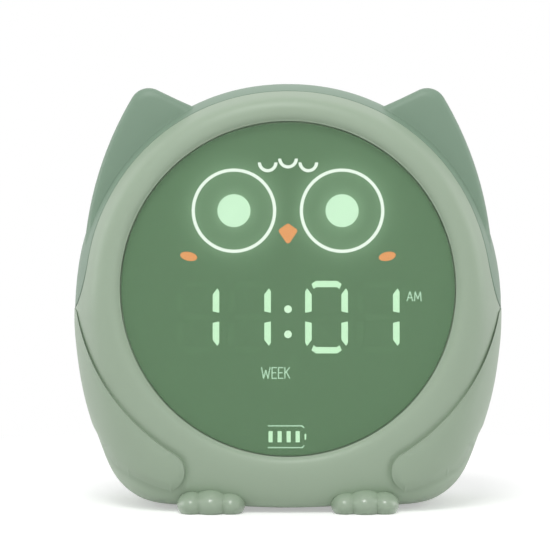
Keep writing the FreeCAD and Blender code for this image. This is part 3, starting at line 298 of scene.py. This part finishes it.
def moulded(name, tint, roughness=0.42, grain=0.10, coat=0.0, edge=0.5, creased=False):
    """Satin moulded plastic: rounded edges, a fine spark-eroded grain, a faint drift in tone and, when
    creased, painted shade in the valleys round the wings.
    """
    finish = Finish(name)
    drift = finish.noise(DRIFT_SCALE, 3.0).math("MULTIPLY_ADD", 1.4, -0.2, clamp=True)
    base = finish.mix(drift, *[shaded(tint, tone) for tone in DRIFT_TONES])
    fine = finish.noise(GRAIN_SCALE, 2.0, 0.6)
    rounded = finish.node("ShaderNodeBevel", {"samples": EDGE_SAMPLES}, Radius=edge * MM)
    normal = finish.bump(fine, grain, GRAIN_DEPTH * MM, Normal=rounded.outputs["Normal"])
    if creased:
        crease = wing_crease(finish)
        # Painted shade: the base colour darkens a little towards the bottom of each wing valley
        base = finish.mix(crease * CREASE_PAINTED_SHADE_SHARE, base, shaded(tint, CREASE_SHADE))
        normal = finish.bump(1.0 - crease, CREASE_STRENGTH, CREASE_DEPTH * MM, Normal=normal)
    rough = fine * 0.08 + (roughness - 0.04)
    return finish.finish(finish.surface(
        base, rough, Normal=normal, Coat_Weight=coat, Coat_Roughness=COAT_ROUGHNESS, IOR=PLASTIC_IOR
    ))


PLAIN_GRAIN_SCALE = 900.0
PLAIN_GRAIN_STRENGTH = 0.08
PLAIN_GRAIN_DEPTH = 0.05


def plain(name, tint, roughness=0.5, metallic=0.0):
    """Even paint, plastic or metal with a faint grain."""
    finish = Finish(name)
    fine = finish.noise(PLAIN_GRAIN_SCALE, 2.0)
    base = finish.mix(fine, shaded(tint, 0.93), shaded(tint, 1.05))
    normal = finish.bump(fine, PLAIN_GRAIN_STRENGTH, PLAIN_GRAIN_DEPTH * MM)
    return finish.finish(finish.surface(base, roughness, Metallic=metallic, Normal=normal))


def glowing(name, tint, strength):
    """Milky light guide, a little brighter in patches as diffused light is."""
    finish = Finish(name)
    patch = finish.noise(260.0, 2.0)
    light = finish.mix(patch, shaded(tint, 0.93), shaded(tint, 1.0))
    shader = finish.surface(
        shaded(tint, 0.5), 0.5, Emission_Color=light, Emission_Strength=strength * sizes().glow
    )
    return finish.finish(shader)


def lens_uv(finish, depth):
    """Place on a plane parallel to the lens, in the display's own millimetres."""
    x, _, z = finish.place()
    middle = LENS_CENTRE.z / MM - depth * math.sin(LENS_LEAN)
    return x, (z - middle) / math.cos(LENS_LEAN)


FACE = {"disc_u": 17.0, "disc_v": 24.6, "disc_radius": 12.8, "eye_radius": 5.2}

# Halo round the lit lines and the eyes: how fast each falls off per millimetre, and how strong it is
RING_FALL = -0.42
EYE_FALL = -0.33
RING_HALO = 0.20
EYE_HALO = 0.26


def mask_finish():
    """Green film with a painted glow round the eyes and their discs, for the light that spreads from
    them.
    """
    finish = Finish("Printed green film")
    u, v = lens_uv(finish, LENS_THICK)
    side = abs(u) - FACE["disc_u"]
    rise = v - FACE["disc_v"]
    reach = (side * side + rise * rise).math("SQRT")
    ring_gap = abs(reach - FACE["disc_radius"])
    ring = (ring_gap * RING_FALL).math("EXPONENT")
    eye = ((reach - FACE["eye_radius"]).math("MAXIMUM", 0.0) * EYE_FALL).math("EXPONENT")
    # Painted glow: emission on the film that fades away from the lit rings and eyes
    halo = (ring * RING_HALO + eye * EYE_HALO).clamped()
    grain = finish.noise(700.0, 3.0, 0.7)
    base = finish.mix(grain, shaded(tint_of("mask"), 0.96), shaded(tint_of("mask"), 1.04))
    tint = finish.mix(halo, (0.0, 0.0, 0.0), shaded(tint_of("light"), 0.9))
    shader = finish.surface(base, 0.6, Emission_Color=tint, Emission_Strength=1.0)
    return finish.finish(shader)


LENS_TINT_SHARE = 0.30
LENS_IOR = 1.49


def lens_finish():
    """Thin tinted acrylic with a soft satin front."""
    finish = Finish("Tinted lens")
    haze = finish.noise(900.0, 2.0)
    normal = finish.bump(haze, 0.03, 0.00003)
    body = finish.surface(tint_of("mask"), 0.32, Normal=normal, IOR=LENS_IOR)
    clear = finish.node("ShaderNodeBsdfTransparent")
    mix = finish.node("ShaderNodeMixShader")
    mix.inputs[0].default_value = LENS_TINT_SHARE
    finish.tree.links.new(clear.outputs[0], mix.inputs[1])
    finish.tree.links.new(body.outputs[0], mix.inputs[2])
    return finish.finish(mix)


def paint_nodes(table):
    """Gives each named node of the frame its material."""
    for material, nodes in table:
        for name in nodes:
            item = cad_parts[name]
            for slot in item.material_slots:
                slot.material = material


# Modelling helpers
def select_only(*items):
    if bpy.context.object and bpy.context.object.mode != "OBJECT":
        bpy.ops.object.mode_set(mode="OBJECT")
    bpy.ops.object.select_all(action="DESELECT")
    for item in items:
        item.select_set(True)
    bpy.context.view_layer.objects.active = items[0]


def settle(item, matrix):
    """Puts an object's place into its mesh, so that the object itself sits at the origin."""
    item.data.transform(matrix @ item.matrix_world)
    item.matrix_world = Matrix.Identity(4)
    return item


def join(items, name):
    select_only(*items)
    if len(items) > 1:
        bpy.ops.object.join()
    piece = bpy.context.object
    piece.name = name
    piece.data.name = name
    return piece


def finish_piece(piece, material, body):
    piece.data.materials.clear()
    piece.data.materials.append(material)
    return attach(piece, body)


WELD = 0.002
SMOOTH_ANGLE = math.radians(35.0)


def smoothed(name, body, material):
    """A welded copy of a moulding, shaded smooth across its gentle edges, in the moulding's place."""
    select_only(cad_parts[name])
    bpy.ops.object.duplicate()
    copy = bpy.context.object
    copy.name = name + "_finished"
    copy.data.name = copy.name
    for key in [key for key in copy.keys() if key.startswith("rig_")]:
        del copy[key]
    copy.parent = None
    bpy.ops.object.mode_set(mode="EDIT")
    bpy.ops.mesh.select_all(action="SELECT")
    bpy.ops.mesh.remove_doubles(threshold=WELD * MM)
    bpy.ops.object.mode_set(mode="OBJECT")
    bpy.ops.mesh.customdata_custom_splitnormals_clear()
    bpy.ops.object.shade_smooth_by_angle(angle=SMOOTH_ANGLE)
    finish_piece(copy, material, body)
    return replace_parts(copy, name)


# Strokes run past their ends and are chamfered by these shares of their width
STROKE_OVERRUN = 0.8
STROKE_CHAMFER = 0.35
LENS_FRAME = Matrix.Translation(LENS_CENTRE) @ Matrix.Rotation(-LENS_LEAN, 4, "X")


def stroke_bar(start, end, width, front, back):
    """A thin bar with chamfered ends between two (x, z) points, in millimetres."""
    run = Vector((end[0] - start[0], 0.0, end[1] - start[1]))
    middle = Vector(((start[0] + end[0]) / 2, (front + back) / 2, (start[1] + end[1]) / 2))
    bpy.ops.object.select_all(action="DESELECT")
    bpy.ops.mesh.primitive_cube_add(size=1.0)
    bar = bpy.context.object
    size = Matrix.Diagonal((run.length + STROKE_OVERRUN * width, back - front, width, 1.0))
    turn = Matrix.Rotation(-math.atan2(run.z, run.x), 4, "Y")
    bar.data.transform(Matrix.Scale(MM, 4) @ Matrix.Translation(middle) @ turn @ size)
    bpy.ops.object.mode_set(mode="EDIT")
    bpy.ops.mesh.select_all(action="SELECT")
    bpy.ops.mesh.bevel(offset=STROKE_CHAMFER * width * MM, segments=2, affect="EDGES")
    bpy.ops.object.mode_set(mode="OBJECT")
    return bar


LETTERS = {
    "A": (0.78, [[(0.0, 0.0), (0.36, 1.0), (0.42, 1.0), (0.78, 0.0)], [(0.14, 0.36), (0.64, 0.36)]]),
    "M": (0.92, [[(0.0, 0.0), (0.10, 1.0), (0.46, 0.24), (0.82, 1.0), (0.92, 0.0)]]),
    "W": (1.0, [[(0.0, 1.0), (0.24, 0.0), (0.50, 0.74), (0.76, 0.0), (1.0, 1.0)]]),
    "E": (0.52, [[(0.52, 1.0), (0.0, 1.0), (0.0, 0.0), (0.52, 0.0)], [(0.0, 0.52), (0.44, 0.52)]]),
    "K": (0.56, [[(0.0, 1.0), (0.0, 0.0)], [(0.54, 1.0), (0.0, 0.46)], [(0.16, 0.60), (0.56, 0.0)]]),
}


def letter_bars(word, left, base, height, width_share, gap, width, front, back):
    """Strokes of a word that starts at (left, base), all in the display's millimetres."""
    bars = []
    for letter in word:
        advance, lines = LETTERS[letter]
        for line in lines:
            points = [(left + x * height * width_share, base + y * height) for x, y in line]
            for start, end in zip(points, points[1:]):
                bars.append(stroke_bar(start, end, width, front, back))
        left += advance * height * width_share + gap
    return bars


# Operators, one for each piece or group of like pieces
class OwlHousing(bpy.types.Operator):
    """Finishes the shells, feet and all that is carried over from the frame"""

    bl_idname = "owl.housing"
    bl_label = "Housing and inner pieces"

    def execute(self, context):
        shell = moulded("Light sage shell", tint_of("shell"), edge=0.35, creased=True)
        small = moulded("Light sage keys", tint_of("shell"), edge=0.3)
        hood = moulded("Dark sage hood", tint_of("hood"), 0.46, edge=1.2)
        feet = moulded("Glossy sage feet", shaded(tint_of("shell"), 0.97), 0.24, 0.02, 0.4)
        white = plain("White reflector", srgb(232, 236, 230), 0.5)
        board = plain("Green board", srgb(28, 96, 60), 0.35)
        dark = plain("Black moulding", srgb(32, 32, 34), 0.45)
        steel = plain("Bright steel", srgb(190, 192, 196), 0.28, 1.0)
        paint_nodes([
            (plain("Silicone pads", srgb(110, 128, 112), 0.7), ["rear_pads"]),
            (plain("Green tape", srgb(70, 98, 74), 0.7), ["lens_tape"]),
            (white, ["light_box", "battery_cradle"]),
            (board, ["display_board", "control_board"]),
            (dark, ["button_switches", "usb_tongue", "power_switch", "speaker_gasket", "speaker_cone",
                    "touch_lead"] + [key + "_plunger" for key in KEYS]),
            (steel, ["box_screws", "housing_screws", "board_screws", "usb_shell"]),
            (plain("Basket steel", srgb(92, 94, 98), 0.4, 1.0), ["speaker_frame"]),
            (plain("Ferrite", srgb(58, 58, 60), 0.7), ["speaker_magnet"]),
            (plain("Cell sleeve", srgb(70, 120, 178), 0.25), ["battery_cell"]),
            (plain("Foam strap", srgb(60, 62, 60), 0.8), ["battery_strap"]),
            (plain("Copper foil", srgb(196, 128, 84), 0.35, 1.0), ["touch_plate"]),
            (plain("Red lead", srgb(176, 36, 30), 0.4), ["speaker_lead", "battery_lead"]),
            (plain("Flat cable", srgb(226, 226, 216), 0.4), ["display_ribbon"]),
            (plain("LED chips", srgb(244, 240, 205), 0.3), ["display_leds", "night_light_leds"]),
        ])
        smoothed("front_shell", "housing", shell)
        smoothed("rear_hood", "housing", hood)
        smoothed("left_foot", "housing", feet)
        smoothed("right_foot", "housing", feet)
        smoothed("display_mask", "housing", mask_finish())
        smoothed("power_slider", "power_slide", small)
        for key in KEYS:
            smoothed(key + "_button", key + "_key", small)
        return {"FINISHED"}


LENS_SIDES = 256
LENS_SHARP = math.radians(40.0)


class OwlLens(bpy.types.Operator):
    """Tinted lens with a rounded front edge, clear of the film behind it"""

    bl_idname = "owl.lens"
    bl_label = "Lens"

    def execute(self, context):
        bpy.ops.object.select_all(action="DESELECT")
        bpy.ops.mesh.primitive_cylinder_add(
            vertices=LENS_SIDES, radius=LENS_RADIUS * MM, depth=LENS_BACK * MM,
            location=(0.0, LENS_BACK / 2 * MM, 0.0), rotation=(math.radians(90.0), 0.0, 0.0)
        )
        lens = bpy.context.object
        lens.name = "lens_finished"
        bpy.ops.object.mode_set(mode="EDIT")
        bpy.ops.mesh.select_all(action="DESELECT")
        bpy.ops.mesh.edges_select_sharp(sharpness=LENS_SHARP)
        bpy.ops.mesh.bevel(offset=LENS_EDGE * MM, segments=3, affect="EDGES")
        bpy.ops.object.mode_set(mode="OBJECT")
        bpy.ops.object.shade_smooth_by_angle(angle=SMOOTH_ANGLE)
        settle(lens, LENS_FRAME)
        finish_piece(lens, lens_finish(), "housing")
        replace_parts(lens, "lens")
        return {"FINISHED"}


class OwlLights(bpy.types.Operator):
    """Lights the digits, the gauge and the face, and paints the unlit segments, the word blocks and the
    night-light guide
    """

    bl_idname = "owl.lights"
    bl_label = "Lit windows"

    def execute(self, context):
        light = tint_of("light")
        dim = Finish("Unlit segments")
        shader = dim.surface(shaded(tint_of("mask"), 1.12), 0.6)
        paint_nodes([
            (glowing("Lit mint", light, 1.34), ["lit_digits", "battery_gauge"]),
            (glowing("Lit dots", srgb(226, 255, 226), 1.42), ["colon_dots"]),
            (glowing("Lit white", srgb(250, 255, 250), 1.46), ["face_discs", "brow_marks"]),
            (glowing("Lit eyes", srgb(222, 255, 226), 1.28), ["eye_lights"]),
            (glowing("Lit orange", tint_of("orange"), 1.2), ["beak_light", "cheek_lights"]),
            (dim.finish(shader), ["unlit_digits", "word_lights"]),
            (plain("Milky guide", srgb(214, 232, 218), 0.5), ["night_light_guide"]),
        ])
        return {"FINISHED"}


# Words as piece, text, left end, base line, height, share of the full width, and gap between letters
WORDS = [
    ("word_am", "AM", 37.4, -3.8, 2.75, 0.82, 0.55),
    ("word_week", "WEEK", -8.3, -28.1, 3.35, 0.80, 0.62),
]
STROKE_CLEARANCE = 0.02

# Outline of the battery sign: its top and bottom line, its ends, and the short bend towards the pole
BATTERY_LINES = ((-43.0, -0.6), (-49.8, 0.6))
BATTERY_LEFT = -6.2
BATTERY_RIGHT = 4.4
BATTERY_BEND = 5.0
BATTERY_STROKE = 1.1


class OwlWords(bpy.types.Operator):
    """Thin lit strokes of the words and the outline of the battery sign"""

    bl_idname = "owl.words"
    bl_label = "Words and battery sign"

    def execute(self, context):
        width = sizes().stroke / MM
        front = LENS_BACK + STROKE_CLEARANCE
        back = LENS_THICK + STROKE_CLEARANCE
        pieces = []
        for piece, *layout in WORDS:
            pieces.append(join(letter_bars(*layout, width, front, back), piece))
        bars = []
        for rise, bend in BATTERY_LINES:
            corners = [(BATTERY_LEFT, rise), (BATTERY_RIGHT, rise), (BATTERY_BEND, rise + bend)]
            for start, end in zip(corners, corners[1:]):
                bars.append(stroke_bar(start, end, width * BATTERY_STROKE, front, back))
        pieces.append(join(bars, "battery_outline"))
        light = glowing("Lit words", srgb(214, 246, 222), 0.9)
        for piece in pieces:
            finish_piece(settle(piece, LENS_FRAME), light, "housing")
        return {"FINISHED"}


def ring_points(x, z, radius, first=0.0, last=360.0, steps=14):
    """Points along an arc, counted in degrees from the x direction."""
    turns = [math.radians(first + (last - first) * index / steps) for index in range(steps + 1)]
    return [(x + radius * math.cos(turn), z + radius * math.sin(turn)) for turn in turns]


# Signs over the keys, each a list of strokes within about 2 mm of its centre
KEY_SIGNS = {
    "time": [ring_points(0.0, 0.0, 1.7), [(0.0, 1.0), (0.0, 0.0), (0.8, -0.4)]],
    "minus": [[(-1.4, 0.0), (1.4, 0.0)]],
    "light": [ring_points(0.0, 0.0, 1.7, 55.0, 325.0), ring_points(1.1, 0.2, 1.25, 85.0, 285.0)],
    "plus": [[(-1.4, 0.0), (1.4, 0.0)], [(0.0, -1.4), (0.0, 1.4)]],
    "alarm": [
        [(-1.6, -1.0), (-1.1, -0.5)]
        + ring_points(0.0, 0.3, 1.1, 180.0, 0.0, 8)
        + [(1.1, -0.5), (1.6, -1.0)],
        [(-1.6, -1.0), (1.6, -1.0)],
        [(-0.4, -1.6), (0.4, -1.6)],
    ],
}
PORT_SIGN = [[(0.7, 1.6), (-0.7, 0.1), (0.7, 0.1), (-0.7, -1.6)]]
PORT_SIGN_DROP = 5.2
POWER_SIGN_AWAY = 7.4
POWER_SIGN_REACH = 0.9
SIGN_STROKE = 0.38
SIGN_RISE = 0.06


def back_sign(lines, x, z):
    """Strokes printed on the back, drawn as they are read from behind."""
    bars = []
    for line in lines:
        points = [(x - across, z + up) for across, up in line]
        for start, end in zip(points, points[1:]):
            bars.append(stroke_bar(start, end, SIGN_STROKE, BACK_Y - SIGN_RISE, BACK_Y + SIGN_RISE))
    return bars


class OwlSigns(bpy.types.Operator):
    """Prints the key signs, the socket's sign and the slider's marks on the back"""

    bl_idname = "owl.signs"
    bl_label = "Rear signs"

    def execute(self, context):
        ink = plain("Dark green ink", srgb(72, 92, 76), 0.5)
        middle = (len(KEYS) - 1) / 2
        for index, key in enumerate(KEYS):
            bars = back_sign(KEY_SIGNS[key], (index - middle) * KEY_PITCH, SIGN_Z)
            finish_piece(join(bars, "sign_" + key), ink, "housing")
        bars = back_sign(PORT_SIGN, 0.0, PORT_Z - PORT_SIGN_DROP)
        finish_piece(join(bars, "sign_charging"), ink, "housing")
        reach = POWER_SIGN_REACH
        bars = back_sign([ring_points(0.0, 0.0, reach)], SLIDER_X - POWER_SIGN_AWAY, PORT_Z)
        bars += back_sign([[(0.0, -reach), (0.0, reach)]], SLIDER_X + POWER_SIGN_AWAY, PORT_Z)
        finish_piece(join(bars, "sign_power"), ink, "housing")
        return {"FINISHED"}


# Cross recess of a screw, drawn as a dark bar of painted shade: half its length, its width, how deep it
# lies in the head and how far it stands out of it
RECESS_REACH = 1.5
RECESS_WIDTH = 0.6
RECESS_DEPTH = 0.3
RECESS_PROUD = 0.03


class OwlScrews(bpy.types.Operator):
    """Dark bars of painted shade in the cross recesses of the four housing screws"""

    bl_idname = "owl.screws"
    bl_label = "Screw recesses"

    def execute(self, context):
        bars = []
        for turn in (SCREW_ANGLE, 180.0 - SCREW_ANGLE, 180.0 + SCREW_ANGLE, -SCREW_ANGLE):
            u = SCREW_RADIUS_AT * math.cos(math.radians(turn))
            v = SCREW_RADIUS_AT * math.sin(math.radians(turn))
            for run, rise in ((RECESS_REACH, 0.0), (0.0, RECESS_REACH)):
                ends = (u - run, v - rise), (u + run, v + rise)
                bars.append(stroke_bar(
                    *ends, RECESS_WIDTH, SCREW_HEAD_DEPTH - RECESS_DEPTH, SCREW_HEAD_DEPTH + RECESS_PROUD
                ))
        # Painted shade: near-black bars stand in for the shade inside the recesses
        dark = plain("Screw recess", srgb(24, 24, 26), 0.6)
        finish_piece(settle(join(bars, "screw_recesses"), LENS_FRAME), dark, "housing")
        return {"FINISHED"}


class OwlStage(bpy.types.Operator):
    """Floor, world, lamps and camera"""

    bl_idname = "owl.stage"
    bl_label = "Stage"

    def execute(self, context):
        make_floor()
        make_world(context.scene)
        make_lamps()
        make_camera(context.scene)
        context.scene.view_settings.view_transform = "Standard"
        return {"FINISHED"}


# Floor: its size in metres, its paint, its lift where it is seen, and where it fades to white in
# millimetres from the clock
FLOOR_SIZE = 8.0
FLOOR_PAINT = (0.86, 0.86, 0.86)
FLOOR_LIFT = 0.40
FLOOR_FADE_START = 90.0
FLOOR_FADE = 160.0


def make_floor():
    """Pale floor that keeps the clock's shadow and runs out into the white backdrop."""
    bpy.ops.object.select_all(action="DESELECT")
    bpy.ops.mesh.primitive_plane_add(size=FLOOR_SIZE, location=(0.0, 0.0, 0.0))
    floor = bpy.context.object
    floor.name = "floor"
    finish = Finish("Pale floor")
    paint = finish.surface(FLOOR_PAINT, 0.9)
    seen = seen_directly(finish.tree)
    lift = finish.node("ShaderNodeEmission", Strength=seen * FLOOR_LIFT)
    both = finish.node("ShaderNodeAddShader")
    finish.tree.links.new(paint.outputs[0], both.inputs[0])
    finish.tree.links.new(lift.outputs[0], both.inputs[1])
    x, y, _ = finish.place()
    away = (x * x + y * y).math("SQRT")
    white = finish.node("ShaderNodeEmission", Strength=1.0)
    fade = ((away - FLOOR_FADE_START) / FLOOR_FADE).clamped()
    blend = finish.node("ShaderNodeMixShader", Fac=fade * seen)
    finish.tree.links.new(both.outputs[0], blend.inputs[1])
    finish.tree.links.new(white.outputs[0], blend.inputs[2])
    floor.data.materials.append(finish.finish(blend))


def seen_directly(tree):
    """One for what the camera, a mirror or clear plastic shows, and zero for light on the clock."""
    paths = tree.nodes.new("ShaderNodeLightPath")
    seen = Value(tree, paths.outputs["Is Camera Ray"])
    for name in ("Is Glossy Ray", "Is Transmission Ray"):
        seen = seen.math("MAXIMUM", Value(tree, paths.outputs[name]))
    return seen


WORLD_FILL = 0.40


def make_world(scene):
    """White where it is seen, and a softer fill for what it lights."""
    world = bpy.data.worlds.new("Studio")
    scene.world = world
    world.use_nodes = True
    tree = world.node_tree
    tree.nodes.clear()
    output = tree.nodes.new("ShaderNodeOutputWorld")
    background = tree.nodes.new("ShaderNodeBackground")
    background.inputs["Color"].default_value = (1.0, 1.0, 1.0, 1.0)
    connect(tree, background.inputs["Strength"], seen_directly(tree) * (1.0 - WORLD_FILL) + WORLD_FILL)
    tree.links.new(background.outputs[0], output.inputs["Surface"])


# Name, place and size in metres, and power in watts of each soft lamp
LAMPS = [
    ("key_lamp", (-0.12, -0.72, 1.2), 0.5, 7.2),
    ("front_lamp", (0.3, -1.5, 0.45), 1.0, 1.2),
    ("left_lamp", (-1.05, 0.25, 0.35), 0.7, 2.1),
    ("right_lamp", (1.05, 0.25, 0.35), 0.7, 2.1),
    ("top_lamp", (0.0, 0.45, 1.2), 0.8, 1.0),
]


def make_lamps():
    for name, place, size, power in LAMPS:
        bpy.ops.object.light_add(type="AREA", location=place)
        lamp = bpy.context.object
        lamp.name = name
        lamp.data.size = size
        lamp.data.energy = power
        lamp.rotation_euler = (AIM - Vector(place)).to_track_quat("-Z", "Y").to_euler()


# Camera, from the photograph: its height above the clock, its focal length in pixels of the
# 550-pixel frame, and the pixel that the aim point falls on
CAMERA_RISE = math.radians(2.5)
FRAME_PIXELS = 550.0
FOCAL_PIXELS = 2781.0
AIM = Vector((0.0, 0.0, 66.0)) * MM
AIM_PIXEL = (288.0, 298.2)
SENSOR = 36.0


def make_camera(scene):
    distance = sizes().camera_distance
    backwards = Vector((0.0, math.cos(CAMERA_RISE), -math.sin(CAMERA_RISE)))
    bpy.ops.object.camera_add(location=AIM - backwards * distance)
    camera = bpy.context.object
    camera.rotation_euler = (math.radians(90.0) - CAMERA_RISE, 0.0, 0.0)
    camera.data.sensor_width = SENSOR
    camera.data.lens = FOCAL_PIXELS * SENSOR / FRAME_PIXELS
    camera.data.shift_x = (FRAME_PIXELS / 2 - AIM_PIXEL[0]) / FRAME_PIXELS
    camera.data.shift_y = (AIM_PIXEL[1] - FRAME_PIXELS / 2) / FRAME_PIXELS
    scene.camera = camera


PIECE_OPERATORS = (OwlHousing, OwlLens, OwlLights, OwlWords, OwlSigns, OwlScrews, OwlStage)


class OwlPanel(bpy.types.Panel):
    """Lists the settings and the pieces of the owl clock"""

    bl_idname = "VIEW3D_PT_owl_clock"
    bl_label = "Owl Clock"
    bl_space_type = "VIEW_3D"
    bl_region_type = "UI"
    bl_category = "Owl Clock"

    def draw(self, context):
        layout = self.layout
        for group in (context.scene.owl_colours, context.scene.owl_sizes):
            for name in group.__annotations__:
                layout.prop(group, name)
        for operator in PIECE_OPERATORS:
            layout.operator(operator.bl_idname)


CLASSES = (OwlColours, OwlSizes) + PIECE_OPERATORS + (OwlPanel,)


def register():
    for item in CLASSES:
        bpy.utils.register_class(item)
    bpy.types.Scene.owl_colours = PointerProperty(type=OwlColours)
    bpy.types.Scene.owl_sizes = PointerProperty(type=OwlSizes)


def unregister():
    del bpy.types.Scene.owl_colours
    del bpy.types.Scene.owl_sizes
    for item in reversed(CLASSES):
        bpy.utils.unregister_class(item)


def main():
    register()
    bpy.ops.object.select_all(action="DESELECT")
    bpy.ops.owl.housing()
    bpy.ops.owl.lens()
    bpy.ops.owl.lights()
    bpy.ops.owl.words()
    bpy.ops.owl.signs()
    bpy.ops.owl.screws()
    bpy.ops.owl.stage()


if __name__ == "__main__":
    main()
